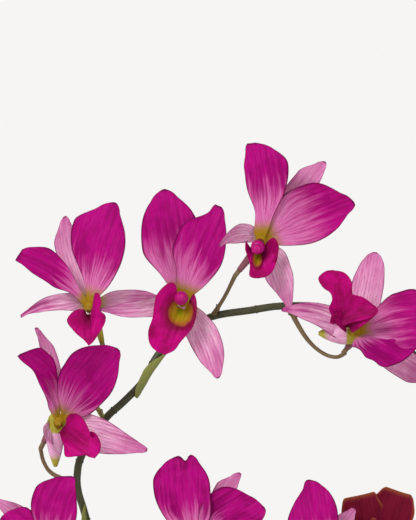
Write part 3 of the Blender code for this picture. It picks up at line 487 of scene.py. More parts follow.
def through(t, xs, ys):
    """A smooth curve through the points (xs, ys) that rises past none of them."""
    k = max(i for i in range(len(xs) - 1) if xs[i] <= t)

    def slope(i):
        if i == 0:
            return (ys[1] - ys[0]) / (xs[1] - xs[0])
        if i == len(xs) - 1:
            return 2.2 * (ys[-1] - ys[-2]) / (xs[-1] - xs[-2])
        before = (ys[i] - ys[i - 1]) / (xs[i] - xs[i - 1])
        after = (ys[i + 1] - ys[i]) / (xs[i + 1] - xs[i])
        return 0 if before * after <= 0 else (before + after) / 2

    h = xs[k + 1] - xs[k]
    s = (t - xs[k]) / h
    ends = (1 + 2 * s) * (1 - s) ** 2 * ys[k] + s * s * (3 - 2 * s) * ys[k + 1]
    return ends + s * (1 - s) ** 2 * h * slope(k) + s * s * (s - 1) * h * slope(k + 1)


def smooth_route(points, steps):
    """Points along a smooth curve through the given ones."""
    p = [np.asarray(q, float) for q in points]
    p = [2 * p[0] - p[1]] + p + [2 * p[-1] - p[-2]]
    route = []
    for k in range(1, len(p) - 2):
        for i in range(steps):
            t = i / steps
            a = 2 * p[k] + (p[k + 1] - p[k - 1]) * t
            b = (2 * p[k - 1] - 5 * p[k] + 4 * p[k + 1] - p[k + 2]) * t * t
            c = (3 * p[k] - p[k - 1] - 3 * p[k + 1] + p[k + 2]) * t ** 3
            route.append((a + b + c) / 2)
    return route + [p[-2]]


def walked(route):
    """How far each point of a route is from its start, along it."""
    return np.concatenate([[0], np.cumsum(np.linalg.norm(np.diff(route, axis=0), axis=1))])


print("a quarter turn of x about z:", turned(np.array([1.0, 0, 0]), (0, 0, 1), 90).round(3))

# %% [markdown]
# Every patch carries two maps. The first runs 0 to 1 across the blade and 0 to 1 along it, and finds the
# edge, the middle and the root. The second is in millimetres and follows the veins: its lines leave the root
# close together, spread as the blade widens and then run on to the edge, so a plain noise or wave on it
# already looks like veins. Two numbers go with each patch: how pale it is, and how much it is darkened,
# partly as a darker tone and partly as painted shade. Each patch starts elsewhere on its veins, so that no
# two are streaked alike.

# %% A patch of skin and its maps
BLADE_ROWS = 40
BLADE_HALF_COLUMNS = 14
ROW_CROWDING = 1.25
EDGE_RISE = 1.6
FAN_NECK = 0.2
FAN_END = 0.5
FURROW = 0.3
FURROW_HALF_WIDTH = 0.9
NOTCH_SHARE = 0.45
RIB_HEIGHT = 0.07
RIB_COUNT = 5
VEIN_SHIFT = 61
LIP_ROWS = 52
LIP_HALF_COLUMNS = 20
LIP_ROOT_HALF_WIDTH = 2.2
LIP_BOW = 1.5
LIP_RUFFLE = 0.5
LOBE_END = 0.62
POCKET_DEPTH = 1.6
POCKET_RIM = 0.9
NO_POCKET = 9.0
KEEL_HEIGHT = 0.35


def patch(points, across, along, veins, pale=0.0, deep=0.0):
    """A grid of points in mm with its maps; across and along are 0 to 1, veins is in mm."""
    maps = np.stack([np.broadcast_to(across, points.shape[:2]), np.broadcast_to(along, points.shape[:2])], -1)
    return dict(points=points, blade=maps, veins=veins, pale=pale, deep=deep)


def blade(
    base, face, tip, left, right, roll=0, bow=0, sway=0, late=0, cup=20, claw=2.2, end=0.5, notch=0.0,
    ruffle=0.35, pale=0.0, deep=0.0, seed=0, rows=BLADE_ROWS, half_columns=BLADE_HALF_COLUMNS,
):
    """A petal, sepal or leaf as a patch, from its root at base to its tip.

    roll turns it about its length and cup raises its edges, both in degrees. bow arches it towards its face,
    sway arches it sideways, and late moves that arch towards the tip. ruffle is how far its edge waves and
    notch how far its tip is cut in at the middle, all in mm. claw is its half width just past the root, and
    may be a pair (left, right).
    """
    base = np.asarray(base, float)
    chord = np.asarray(tip, float) - base
    length = np.linalg.norm(chord)
    along = unit(chord)
    normal = np.asarray(face, float)
    normal = unit(normal - np.dot(normal, along) * along)
    normal = turned(normal, along, roll)
    side = np.cross(along, normal)
    claws = claw if isinstance(claw, tuple) else (claw, claw)
    left_widths = (ROOT_HALF_WIDTH, claws[0]) + tuple(left) + (end,)
    right_widths = (ROOT_HALF_WIDTH, claws[1]) + tuple(right) + (end,)
    widest = max(left_widths + right_widths)
    v = np.linspace(-1, 1, 2 * half_columns + 1)
    points = np.zeros((rows + 1, len(v), 3))
    veins = np.zeros((rows + 1, len(v), 2))
    shares = np.zeros((rows + 1, 1))
    for i in range(rows + 1):
        t = 1 - (1 - i / rows) ** ROW_CROWDING
        arch = 4 * t * (1 - t)
        middle = base + chord * t + normal * bow * arch + side * (sway * arch + late * t * arch)
        rise = math.tan(math.radians(cup) * min(1, 0.35 + 1.2 * t)) / 2
        half = np.where(v > 0, through(t, STATIONS, right_widths), through(t, STATIONS, left_widths))
        spread = FAN_NECK + (1 - FAN_NECK) * ease(t, 0, FAN_END)
        fan = half * v / spread
        lift = half * rise * np.abs(v) ** EDGE_RISE
        groove = FURROW * np.exp(-((v * half / FURROW_HALF_WIDTH) ** 2))
        lift = lift - groove * (1 - t) ** 0.6 * ease(t, 0.02, 0.15)
        lift = lift + RIB_HEIGHT * np.cos(2 * math.pi * RIB_COUNT * fan / widest) * ease(t, 0.03, 0.2)
        wave = np.sin(2 * math.pi * (2.3 * t + 0.13 * seed) + 1.7 * v) + 0.5 * np.sin(13 * t + seed + 3 * v)
        lift = lift + ruffle * wave * np.abs(v) ** 3 * ease(t, 0.15, 0.4)
        cut = notch * np.exp(-((v / NOTCH_SHARE) ** 2)) * ease(t, 0.8, 1.0)
        points[i] = middle + np.outer(half * v, side) + np.outer(lift, normal) - np.outer(cut, along)
        veins[i, :, 0] = fan
        veins[i, :, 1] = t * length + VEIN_SHIFT * seed
        shares[i] = t
    return patch(points, (v + 1) / 2, shares, veins, pale, deep)


def lip_patch(
    hinge, base, face, tip, left=PLAIN_LIP, right=PLAIN_LIP, lift=(5, 5), before=0.0, throat=None, deep=0.0,
    seed=0,
):
    """The lip: two side lobes that stand up round the column, a pocket between them, then a tongue.

    Its outline lies flat before the plant and its depth is added towards the side that it faces. Every row of
    the grid runs from the left outline through the middle to the right one, so near the hinge the rows are
    deep curves that make the lobes. lift is how far the (left, right) lobe stands out, and before how far the
    middle does. The number "pale" holds the distance from the pocket's middle: 1 is its rim.
    """
    base = np.asarray(base, float)
    out = np.array([0, math.copysign(1, face[1]), 0])
    chord = np.asarray(tip, float) - base
    slope = np.dot(chord, out)
    chord = chord - out * slope
    length = np.linalg.norm(chord)
    along = chord / length
    across = np.cross(along, out)
    root = hinge - base
    start = np.dot(root, along)
    root = root - along * start
    outlines = []
    for side in (left, right):
        corners = [(start, LIP_ROOT_HALF_WIDTH), *side, (length, 0.0)]
        line = np.array(smooth_route([(a, s, 0) for a, s in corners], 12))[:, :2]
        distance = walked(line)
        spread = np.linspace(0, distance[-1], LIP_ROWS + 1)
        outlines.append(np.stack([np.interp(spread, distance, line[:, k]) for k in (0, 1)], -1))
    v = np.linspace(-1, 1, 2 * LIP_HALF_COLUMNS + 1)
    points = np.zeros((LIP_ROWS + 1, len(v), 3))
    veins = np.zeros((LIP_ROWS + 1, len(v), 2))
    pocket = np.full((LIP_ROWS + 1, len(v)), NO_POCKET)
    for i in range(LIP_ROWS + 1):
        t = i / LIP_ROWS
        middle = start + (length - start) * t
        claw = (1 - t) ** 6
        for j in range(len(v)):
            k = 1 if v[j] > 0 else 0
            a = middle + (outlines[k][i, 0] - middle) * abs(v[j]) ** 1.7
            s = math.copysign(outlines[k][i, 1], v[j]) * abs(v[j])
            lobe = math.sin(math.pi * min(1, t / LOBE_END)) ** 0.8 * lift[k]
            height = max(0, a) / length * slope + LIP_BOW * 4 * t * (1 - t) + before * ease(t, 0, 0.15)
            height += lobe * abs(v[j]) ** 1.8 + 0.06 * abs(s * v[j])
            if throat:
                pocket[i, j] = math.hypot((a - throat[0]) / throat[2], (s - throat[1]) / throat[3])
                height -= POCKET_DEPTH * max(0, 1 - pocket[i, j] ** 2)
                height += POCKET_RIM * math.exp(-(((pocket[i, j] - 1.1) / 0.22) ** 2))
            height += LIP_RUFFLE * math.sin(11 * t + 5 * v[j] + seed) * abs(v[j]) ** 4 * ease(t, 0.1, 0.4)
            keels = math.cos(2.6 * s) * math.exp(-((s / 3) ** 2))
            height += KEEL_HEIGHT * keels * ease(t, 0.1, 0.25) * (1 - ease(t, 0.5, 0.8))
            points[i, j] = base + along * a + across * s + out * height + root * claw
            veins[i, j] = s * (1 + 0.5 * math.exp(-t * 3)), a + VEIN_SHIFT * seed
    return patch(points, (v + 1) / 2, np.linspace(0, 1, LIP_ROWS + 1)[:, None], veins, pocket, deep)


def tube(route, radii, sides, seed=0):
    """A round stem along a route, closed at both ends. radii are spread evenly along it."""
    route = np.asarray(route, float)
    count = len(route)
    radius = np.interp(np.linspace(0, 1, count), np.linspace(0, 1, len(radii)), radii)
    ahead = np.gradient(route, axis=0)
    ahead = ahead / np.linalg.norm(ahead, axis=1)[:, None]
    right = unit(np.cross(ahead[0], (0.3, 0.9, 0.2)))
    distance = walked(route)
    angles = np.linspace(0, 2 * math.pi, sides + 1)
    points = np.zeros((count + 2, sides + 1, 3))
    veins = np.zeros((count + 2, sides + 1, 2))
    along = np.zeros((count + 2, 1))
    for i in range(count):
        right = unit(right - np.dot(right, ahead[i]) * ahead[i])
        up = np.cross(right, ahead[i])
        ring = np.outer(np.cos(angles), right) + np.outer(np.sin(angles), up)
        points[i + 1] = route[i] + ring * radius[i]
        veins[i + 1, :, 0] = angles * radius[i]
        veins[i + 1, :, 1] = distance[i] + VEIN_SHIFT * seed
        along[i + 1] = distance[i] / distance[-1]
    points[0], veins[0] = route[0], veins[1]
    points[-1], veins[-1], along[-1] = route[-1], veins[-2], 1
    made = patch(points, angles / (2 * math.pi), along, veins)
    made["round"] = True
    return made


def turned_lump(centre, axis, profile, sides):
    """A lump turned about an axis from a profile of (radius, height), as a patch."""
    centre = np.asarray(centre, float)
    axis = unit(axis)
    route = [centre + axis * height for _, height in profile]
    made = tube(route, [1] * len(profile), sides)
    for i, (radius, _) in enumerate(profile):
        ring = made["points"][i + 1]
        made["points"][i + 1] = route[i] + (ring - route[i]) * radius
    return made


print("points in one blade:", (BLADE_ROWS + 1) * (2 * BLADE_HALF_COLUMNS + 1))

# %% [markdown]
# A patch becomes a mesh in one of two ways. A blade is given its thickness here, thinner at its edge than
# along its middle, with a closed rim, because a Solidify modifier would make it the same all over. A round
# patch is already closed. Several patches make one piece, and both maps and both numbers go with them.

# %% Patches into one mesh
BLADE_THICKNESS = 0.36
EDGE_THICKNESS = 0.14
WELD_M = 2e-6
LEAST_EDGE_M = 1e-7


def placed(name, data):
    """A new object in the scene."""
    obj = bpy.data.objects.new(name, data)
    bpy.context.scene.collection.objects.link(obj)
    return obj


def disc(name, radius_m, height_m, segments):
    """A flat round face, lying level."""
    bm = bmesh.new()
    bmesh.ops.create_circle(bm, cap_ends=True, segments=segments, radius=radius_m)
    bmesh.ops.translate(bm, verts=bm.verts, vec=(0, 0, height_m))
    mesh = bpy.data.meshes.new(name)
    bm.to_mesh(mesh)
    bm.free()
    return placed(name, mesh)


def shell(made, thickness=BLADE_THICKNESS, edge=EDGE_THICKNESS):
    """Corners, faces and maps of a blade with its thickness."""
    p = made["points"]
    rows, columns = p.shape[:2]
    ahead = np.gradient(p, axis=0)
    across = np.gradient(p, axis=1)
    normal = np.cross(ahead, across)
    size = np.linalg.norm(normal, axis=2, keepdims=True)
    normal = normal / np.maximum(size, 1e-9)
    middle = 1 - np.abs(made["blade"][..., 0] * 2 - 1) ** 3
    depth = (edge + (thickness - edge) * middle)[..., None] / 2
    corners = np.concatenate([(p + normal * depth).reshape(-1, 3), (p - normal * depth).reshape(-1, 3)])
    index = np.arange(rows * columns).reshape(rows, columns)
    back = index + rows * columns
    faces = []
    for i in range(rows - 1):
        for j in range(columns - 1):
            faces.append((index[i, j], index[i + 1, j], index[i + 1, j + 1], index[i, j + 1]))
            faces.append((back[i, j + 1], back[i + 1, j + 1], back[i + 1, j], back[i, j]))
    rim = [(0, j) for j in range(columns)] + [(i, columns - 1) for i in range(1, rows)]
    rim += [(rows - 1, j) for j in range(columns - 2, -1, -1)] + [(i, 0) for i in range(rows - 2, 0, -1)]
    for a, b in zip(rim, rim[1:] + rim[:1]):
        faces.append((index[a], index[b], back[b], back[a]))
    flat = [made[name].reshape(-1, 2) for name in ("blade", "veins")]
    return corners, faces, [np.concatenate([m, m]) for m in flat]


def skin(made):
    """Corners, faces and maps of a round patch."""
    p = made["points"]
    rows, columns = p.shape[:2]
    index = np.arange(rows * columns).reshape(rows, columns)
    faces = []
    for i in range(rows - 1):
        for j in range(columns - 1):
            faces.append((index[i, j], index[i, j + 1], index[i + 1, j + 1], index[i + 1, j]))
    return p.reshape(-1, 3), faces, [made[name].reshape(-1, 2) for name in ("blade", "veins")]


def piece(name, patches, finish, **thickness):
    """One object from several patches, with the maps blade and veins and the numbers pale and deep."""
    corners, faces, maps, numbers, first = [], [], ([], []), ([], []), 0
    for made in patches:
        points, squares, both = skin(made) if made.get("round") else shell(made, **thickness)
        corners.append(points)
        faces += [tuple(int(k) + first for k in square) for square in squares]
        first += len(points)
        for k in range(2):
            maps[k].append(both[k])
        for k, label in enumerate(("pale", "deep")):
            values = np.broadcast_to(made[label], made["points"].shape[:2]).ravel()
            numbers[k].append(np.tile(values, len(points) // len(values)))
    mesh = bpy.data.meshes.new(name)
    mesh.from_pydata((np.concatenate(corners) * MM).tolist(), [], faces)
    at = np.zeros(len(mesh.loops), np.int32)
    mesh.loops.foreach_get("vertex_index", at)
    for layer, values in zip(("blade", "veins"), maps):
        flat = np.concatenate(values)[at].astype(np.float32).ravel()
        mesh.uv_layers.new(name=layer).data.foreach_set("uv", flat)
    for label, values in zip(("pale", "deep"), numbers):
        flat = np.concatenate(values).astype(np.float32)
        mesh.attributes.new(label, "FLOAT", "POINT").data.foreach_set("value", flat)
    return settled(name, mesh, finish)


def settled(name, mesh, finish):
    """The mesh welded where its own points meet, facing out and smooth, as an object with its finish."""
    bm = bmesh.new()
    bm.from_mesh(mesh)
    bmesh.ops.remove_doubles(bm, verts=bm.verts, dist=WELD_M)
    bmesh.ops.dissolve_degenerate(bm, edges=bm.edges, dist=LEAST_EDGE_M)
    bmesh.ops.recalc_face_normals(bm, faces=bm.faces)
    bm.to_mesh(mesh)
    bm.free()
    mesh.shade_smooth()
    mesh.materials.append(finish)
    return placed(name, mesh)


def dress(obj, slot, *nodes):
    """The piece stands for these solids, which it hides, and goes with the plant; slot is not used."""
    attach(obj, BODY)
    if nodes:
        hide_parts(*nodes)
    return obj


print("a blade is", BLADE_THICKNESS, "mm thick at its middle and", EDGE_THICKNESS, "mm at its edge")

# %% [markdown]
# ## Finishes
#
# Everything on the plant is coloured by nodes: noise, waves and ramps that read the maps of a patch or the
# place in the object. A photograph projected on the petals would look right from one side only. The short
# class below adds nodes to one material, so that a finish reads as a recipe. What is the same all over a
# surface, such as how glossy it is, is a plain value on the shader.

# %% A short way to write a finish
def tone(red, green, blue):
    """A colour as a screen shows it, 0 to 255, as the linear colour that a shader takes."""
    shares = [c / 255 for c in (red, green, blue)]
    return tuple(c / 12.92 if c <= 0.04045 else ((c + 0.055) / 1.055) ** 2.4 for c in shares) + (1,)


class Recipe:
    """Adds nodes to one material. A value may be a number, a colour or another node's output."""

    def __init__(self, name, **plain):
        self.material = bpy.data.materials.new(name)
        self.material.use_nodes = True
        self.tree = self.material.node_tree
        self.shader = self.tree.nodes["Principled BSDF"]
        for socket, value in plain.items():
            self.shader.inputs[socket.replace("_", " ")].default_value = value

    def put(self, node, socket, value):
        if isinstance(value, bpy.types.NodeSocket):
            self.tree.links.new(value, node.inputs[socket])
        else:
            node.inputs[socket].default_value = value

    def node(self, kind, values=(), **settings):
        made = self.tree.nodes.new("ShaderNode" + kind)
        for name, value in settings.items():
            setattr(made, name, value)
        for socket, value in dict(values).items():
            self.put(made, socket, value)
        return made

    def map(self, name):
        """The parts (x, y) of one of the piece's maps."""
        split = self.node("SeparateXYZ", {0: self.node("UVMap", uv_map=name).outputs[0]})
        return split.outputs[0], split.outputs[1]

    def number(self, name):
        return self.node("Attribute", attribute_name=name).outputs["Fac"]

    def place(self):
        return self.node("TexCoord").outputs["Object"]

    def math(self, operation, a, b=0.0, c=0.0):
        return self.node("Math", {0: a, 1: b, 2: c}, operation=operation).outputs[0]

    def plus(self, a, b):
        return self.math("ADD", a, b)

    def less(self, a, b):
        return self.math("SUBTRACT", a, b)

    def times(self, a, b):
        return self.math("MULTIPLY", a, b)

    def times_plus(self, a, b, c):
        return self.math("MULTIPLY_ADD", a, b, c)

    def ease(self, value, low, high):
        """0 where value is below low, 1 where it is above high and smooth between."""
        made = self.node("MapRange", {0: value, 1: low, 2: high}, interpolation_type="SMOOTHSTEP")
        return made.outputs[0]

    def fall(self, value, low, high):
        """1 where value is below low, 0 where it is above high and smooth between."""
        return self.less(1.0, self.ease(value, low, high))

    def to_edge(self, across):
        """0 on the middle line of a blade and 1 at both of its edges."""
        return self.math("ABSOLUTE", self.times_plus(across, 2.0, -1.0))

    def lines(self, value, width):
        """Thin lines: 1 wherever the value passes a multiple of pi, and 0 between."""
        return self.fall(self.math("ABSOLUTE", self.math("SINE", value)), 0.0, width)

    def point(self, x, y, z=0.0):
        return self.node("CombineXYZ", {0: x, 1: y, 2: z}).outputs[0]

    def noise(self, where, scale, detail, rough, warp=0.0):
        values = {"Vector": where, "Scale": scale, "Detail": detail, "Roughness": rough, "Distortion": warp}
        return self.node("TexNoise", values).outputs[0]

    def grain(self, veins, across, along, detail, rough, start=0.0):
        """Noise drawn out along the veins; across and along are how fine it is each way, per mm."""
        where = self.point(self.times(veins[0], across), self.times(veins[1], along), start)
        return self.noise(where, 1.0, detail, rough)

    def mix(self, factor, a, b):
        """From colour a, where factor is 0, to colour b, where it is 1."""
        return self.node("Mix", {0: factor, 6: a, 7: b}, data_type="RGBA", clamp_factor=True).outputs[2]

    def ramp(self, value, *stops):
        """Colours at places from 0 to 1."""
        made = self.node("ValToRGB", {0: value})
        elements = made.color_ramp.elements
        while len(elements) < len(stops):
            elements.new(0.5)
        for element, (place, colour) in zip(elements, stops):
            element.position = place
            element.color = colour
        return made.outputs[0]

    def relief(self, height, depth_mm, strength):
        bump = self.node("Bump", {"Height": height, "Distance": depth_mm * MM, "Strength": strength})
        self.put(self.shader, "Normal", bump.outputs[0])

    def done(self, colour, roughness):
        self.put(self.shader, "Base Color", colour)
        self.put(self.shader, "Roughness", roughness)
        return self.material


print("pale pink in linear values:", [round(c, 3) for c in tone(210, 135, 180)])

# %% [markdown]
# ### Petals and sepals
#
# A petal starts olive-yellow at its root, turns mauve and then a full magenta, with fine darker and paler
# streaks along its veins, a thin dark line at its edge and a soft, low gloss. The paler streaks are partly
# the skin's own and partly a painted highlight, and the darker patches over the full colour are partly a
# darker tone and partly painted shade. A sepal is the same skin, paler for its whole length, with magenta
# veins. Both come from one recipe, and so do the brown-edged skins of a bloom that is past its best. The
# skin is thin enough for light to soften inside it, which a little subsurface gives.

# %% The recipe for petal skin
OVARY_BROWN = tone(128, 84, 84)


def petal_skin(name, root, base, lit, full, dark, vein, margin, reach, veins_show, rough=0.5, hem=0.0):
    """reach is how far the pale base runs along the blade, veins_show how strongly the veins are drawn, and
    hem how far the margin's colour runs ragged into the blade."""
    r = Recipe(
        name, IOR=1.2, Specular_IOR_Level=0.2, Subsurface_Weight=0.08, Subsurface_Scale=0.0012,
        Subsurface_Radius=(1.0, 0.1, 0.5),
    )
    across, along = r.map("blade")
    veins = fan, far = r.map("veins")
    pale, deep = r.number("pale"), r.number("deep")
    edge = r.to_edge(across)
    streak = r.grain(veins, 1.5, 0.13, 5.0, 0.66)
    fine = r.grain(veins, 5.0, 0.22, 3.0, 0.6, 5.0)
    cloud = r.noise(r.point(fan, far, 3.0), 0.12, 2.0, 0.5, 0.6)
    ray = r.grain(veins, 0.6, 0.035, 3.0, 0.6, 7.0)
    # fine lines along the veins, bent a little by the streaks
    bent = r.times_plus(r.less(streak, 0.5), 1.6, fan)
    line = r.lines(r.times(bent, 2.3), 0.34)
    # from the pale base to the full colour, ragged along the veins
    shift = r.times_plus(r.less(streak, 0.5), 0.4, along)
    shift = r.times_plus(r.less(ray, 0.5), 0.7, shift)
    end = r.plus(reach, pale)
    into = r.ease(shift, r.times(end, 0.3), end)
    colour = r.mix(into, base, full)
    # whitish streaks, mostly on the pale base, partly the skin's own and partly a painted highlight, then the
    # veins and the darker patches, partly a darker tone and partly painted shade
    light = r.ease(r.times_plus(fine, 0.5, r.times(streak, 0.5)), 0.44, 0.62)
    fade = r.less(0.6, r.times(into, 0.57))
    colour = r.mix(r.times(light, fade), colour, lit)
    drawn = r.times(line, r.times(veins_show, r.less(1.15, r.times(into, 0.6))))
    colour = r.mix(drawn, colour, vein)
    # darker patches, partly a darker tone and partly painted shade, more where the darkening number is higher
    blotch = r.times_plus(cloud, 0.4, r.times(ray, 0.6))
    shade = r.times(r.ease(blotch, 0.42, 0.62), r.times_plus(into, 0.6, deep))
    colour = r.mix(shade, colour, dark)
    # the margin along both edges and round the tip
    rim = r.ease(r.times_plus(streak, hem, edge), 0.925, 0.985 + hem)
    colour = r.mix(r.times(rim, 0.85), colour, margin)
    rim = r.ease(r.times_plus(streak, hem * 0.5, along), 0.975, 0.995 + hem * 0.4)
    colour = r.mix(r.times(rim, 0.85), colour, margin)
    # the root, and the ovary, which is marked as lying beyond the tip
    yellow = r.fall(r.times_plus(streak, 0.12, along), 0.15, 0.3)
    colour = r.mix(yellow, colour, root)
    colour = r.mix(r.times(r.ease(along, 1.1, 1.2), 0.8), colour, OVARY_BROWN)
    height = r.times_plus(line, -0.5, r.times_plus(fine, 0.5, streak))
    r.relief(height, 0.12, 0.5)
    return r.done(colour, r.times_plus(streak, 0.25, rough - 0.1))


MAGENTA = tone(160, 0, 110)
# the colour of a petal's darker patches, partly a darker tone and partly painted shade
MAGENTA_DARK_AND_SHADE = tone(120, 0, 78)
MAUVE = tone(190, 92, 150)
PALE_PINK = tone(206, 140, 178)
OLIVE_GOLD = tone(146, 112, 22)
MAROON = tone(100, 10, 38)
GOLD_BROWN = tone(126, 60, 28)
MARGIN = tone(84, 0, 52)

petal_finish = petal_skin(
    "petal_skin", OLIVE_GOLD, MAUVE, tone(214, 150, 192), MAGENTA, MAGENTA_DARK_AND_SHADE, tone(128, 0, 86), MARGIN,
    0.52, 0.5,
)
sepal_finish = petal_skin(
    "sepal_skin", tone(160, 150, 58), PALE_PINK, tone(240, 212, 226), tone(192, 112, 160), tone(160, 60, 122),
    tone(150, 30, 110), tone(112, 30, 80), 1.0, 0.6,
)
faded_petal_finish = petal_skin(
    "faded_petal_skin", GOLD_BROWN, tone(124, 28, 44), tone(150, 70, 50), MAROON, tone(78, 6, 26), GOLD_BROWN,
    tone(136, 76, 36), 0.4, 0.3, 0.6, 0.2,
)
faded_sepal_finish = petal_skin(
    "faded_sepal_skin", tone(150, 110, 60), tone(150, 84, 62), tone(176, 120, 80), tone(128, 52, 46),
    tone(100, 30, 30), MAROON, GOLD_BROWN, 0.8, 0.4, 0.6,
)
print("petal finishes:", [m.name for m in bpy.data.materials if m.name.endswith("skin")])

# %% [markdown]
# ### The lip and the column
#
# The lip is the darkest and reddest part of a bloom, with a velvet look, and its middle is a yellow-green
# pocket with an orange rim and a dark red ring round it, partly the lip's own colour and partly painted
# shade. Towards its hinge, between the side lobes, a painted shade darkens it further. The column above it
# is a dark red that turns olive at its foot, under a bright magenta cap. Both read the first map, how far
# along and how far from the middle, and a lip's number pale is how far a place is from the middle of the
# pocket: 1 is the rim.

# %% The recipes for the lip and the column
def lip_skin(name, wall, wall_dark, throat, spot, rim):
    """wall is the lip's own colour; the throat has a rim, and a spot in its middle."""
    r = Recipe(
        name, IOR=1.2, Specular_IOR_Level=0.3, Subsurface_Weight=0.06, Subsurface_Scale=0.001,
        Subsurface_Radius=(1.0, 0.1, 0.3),
    )
    across, along = r.map("blade")
    veins = side, _ = r.map("veins")
    pocket, deep = r.number("pale"), r.number("deep")
    streak = r.grain(veins, 1.2, 0.22, 4.0, 0.6)
    cloud = r.noise(r.place(), 170.0, 3.0, 0.6)
    line = r.lines(r.times_plus(streak, 2.4, r.times(side, 1.5)), 0.3)
    edge = r.to_edge(across)
    tint = r.times_plus(streak, 0.25, r.times(cloud, 0.75))
    colour = r.mix(r.times(r.ease(tint, 0.38, 0.66), 0.85), wall, wall_dark)
    colour = r.mix(r.times(line, 0.16), colour, wall_dark)
    # painted shade, darker towards the hinge between the side lobes, then the pocket from the ring round it
    # to its middle
    inner = r.fall(r.times_plus(edge, 0.3, along), 0.1, 0.65)
    colour = r.mix(r.times(inner, r.plus(0.35, deep)), colour, tone(84, 6, 30))
    colour = r.mix(r.times(r.ease(edge, 0.94, 0.99), 0.75), colour, wall_dark)
    ragged = r.times_plus(r.less(cloud, 0.5), 0.35, pocket)
    # the dark red ring round the pocket: partly the lip's own colour, partly painted shade
    colour = r.mix(r.times(r.fall(ragged, 1.05, 1.8), 0.9), colour, tone(104, 4, 36))
    colour = r.mix(r.fall(ragged, 0.92, 1.12), colour, rim)
    colour = r.mix(r.fall(ragged, 0.66, 0.92), colour, throat)
    colour = r.mix(r.fall(ragged, 0.1, 0.55), colour, spot)
    r.relief(r.times_plus(line, -0.7, streak), 0.12, 0.6)
    return r.done(colour, r.times_plus(streak, 0.25, 0.4))


def column_skin(name, upper, cap):
    """The column in one colour up to its cap, and olive at its foot."""
    r = Recipe(name, Specular_IOR_Level=0.2, Subsurface_Weight=0.1, Subsurface_Scale=0.0012)
    _, along = r.map("blade")
    grain = r.noise(r.place(), 420.0, 3.0, 0.6)
    into = r.ease(r.times_plus(grain, 0.1, along), 0.8, 0.86)
    colour = r.mix(into, upper, cap)
    colour = r.mix(r.times(r.ease(grain, 0.5, 0.75), 0.3), colour, tone(186, 24, 130))
    colour = r.mix(r.fall(along, 0.02, 0.2), colour, OLIVE_GOLD)
    r.relief(grain, 0.1, 0.5)
    return r.done(colour, r.times_plus(grain, 0.2, 0.3))


lip_finish = lip_skin(
    "lip_skin", tone(172, 0, 108), tone(126, 0, 64), tone(156, 122, 24), tone(136, 132, 8), tone(160, 90, 40),
)
faded_lip_finish = lip_skin(
    "faded_lip_skin", tone(108, 18, 38), tone(72, 6, 22), tone(120, 90, 30), tone(120, 100, 30), GOLD_BROWN,
)
column_finish = column_skin("column_skin", tone(104, 4, 44), tone(164, 2, 104))
faded_column_finish = column_skin("faded_column_skin", tone(150, 80, 70), MAROON)
print("lip and column finishes made")

# %% [markdown]
# ### Stems, canes, leaves, pot and bark
#
# The spray's stem is a dark olive with darker lengthwise grain, the stalks of the blooms are a paler
# brown-green, canes are yellow-green under papery sheaths, and leaves are a mid green with fine straight
# veins and a waxy gloss. The pot is unglazed clay: a little blotched, gritty, faintly ringed and with a pale
# bloom of salts, more of it near the foot. Each is one recipe of noise at two or three sizes.

# %% The recipes for what is green, woody or clay
def stem_skin(name, light, dark, speck, gloss=0.45):
    """A stem's skin with darker grain; its number pale turns it towards speck, and deep towards dark."""
    r = Recipe(name, Specular_IOR_Level=0.35, Subsurface_Weight=0.05, Subsurface_Scale=0.001)
    veins = fan, far = r.map("veins")
    grain = r.grain(veins, 2.6, 0.14, 4.0, 0.65)
    cloud = r.noise(r.place(), 60.0, 3.0, 0.6)
    spots = r.noise(r.point(fan, r.times(far, 0.6), 9.0), 1.6, 2.0, 0.5)
    pale, deep = r.number("pale"), r.number("deep")
    tint = r.times_plus(grain, 0.7, r.times(cloud, 0.4))
    colour = r.mix(r.ease(r.less(tint, r.times(pale, 0.3)), 0.35, 0.75), light, dark)
    colour = r.mix(r.times(pale, 0.75), colour, speck)
    colour = r.mix(r.times(r.ease(spots, 0.6, 0.72), 0.5), colour, dark)
    colour = r.mix(deep, colour, dark)
    r.relief(r.times_plus(spots, 0.3, grain), 0.15, 0.6)
    return r.done(colour, r.times_plus(grain, 0.25, gloss - 0.1))


def leaf_skin(name, light, dark, rib):
    """A waxy leaf with a paler middle rib and edge, and a dry tip."""
    r = Recipe(
        name, Specular_IOR_Level=0.5, Subsurface_Weight=0.06, Subsurface_Scale=0.001, Coat_Weight=0.12,
        Coat_Roughness=0.25,
    )
    across, along = r.map("blade")
    veins = fan, _ = r.map("veins")
    streak = r.grain(veins, 1.8, 0.05, 4.0, 0.6)
    cloud = r.noise(r.place(), 38.0, 3.0, 0.55)
    line = r.lines(r.times(fan, 2.2), 0.4)
    middle = r.fall(r.math("ABSOLUTE", fan), 0.25, 0.8)
    edge = r.to_edge(across)
    colour = r.mix(r.ease(r.times_plus(streak, 0.6, r.times(cloud, 0.4)), 0.36, 0.64), light, dark)
    colour = r.mix(r.times(line, 0.22), colour, dark)
    colour = r.mix(r.times(middle, 0.5), colour, rib)
    colour = r.mix(r.times(r.ease(edge, 0.95, 1.0), 0.55), colour, rib)
    colour = r.mix(r.ease(along, 0.965, 1.0), colour, tone(150, 120, 60))
    r.relief(r.times_plus(line, -0.8, streak), 0.12, 0.6)
    return r.done(colour, r.times_plus(streak, 0.2, 0.26))


def paper_skin(name):
    """The dry sheath round a cane."""
    r = Recipe(name, Specular_IOR_Level=0.25)
    veins = r.map("veins")
    grain = r.grain(veins, 2.4, 0.06, 5.0, 0.65)
    cloud = r.noise(r.place(), 90.0, 3.0, 0.6)
    colour = r.ramp(grain, (0.3, tone(142, 128, 96)), (0.5, tone(186, 174, 140)), (0.7, tone(214, 206, 178)))
    colour = r.mix(r.times(r.ease(cloud, 0.5, 0.7), 0.4), colour, tone(128, 100, 66))
    r.relief(grain, 0.2, 0.8)
    return r.done(colour, r.times_plus(grain, 0.2, 0.55))


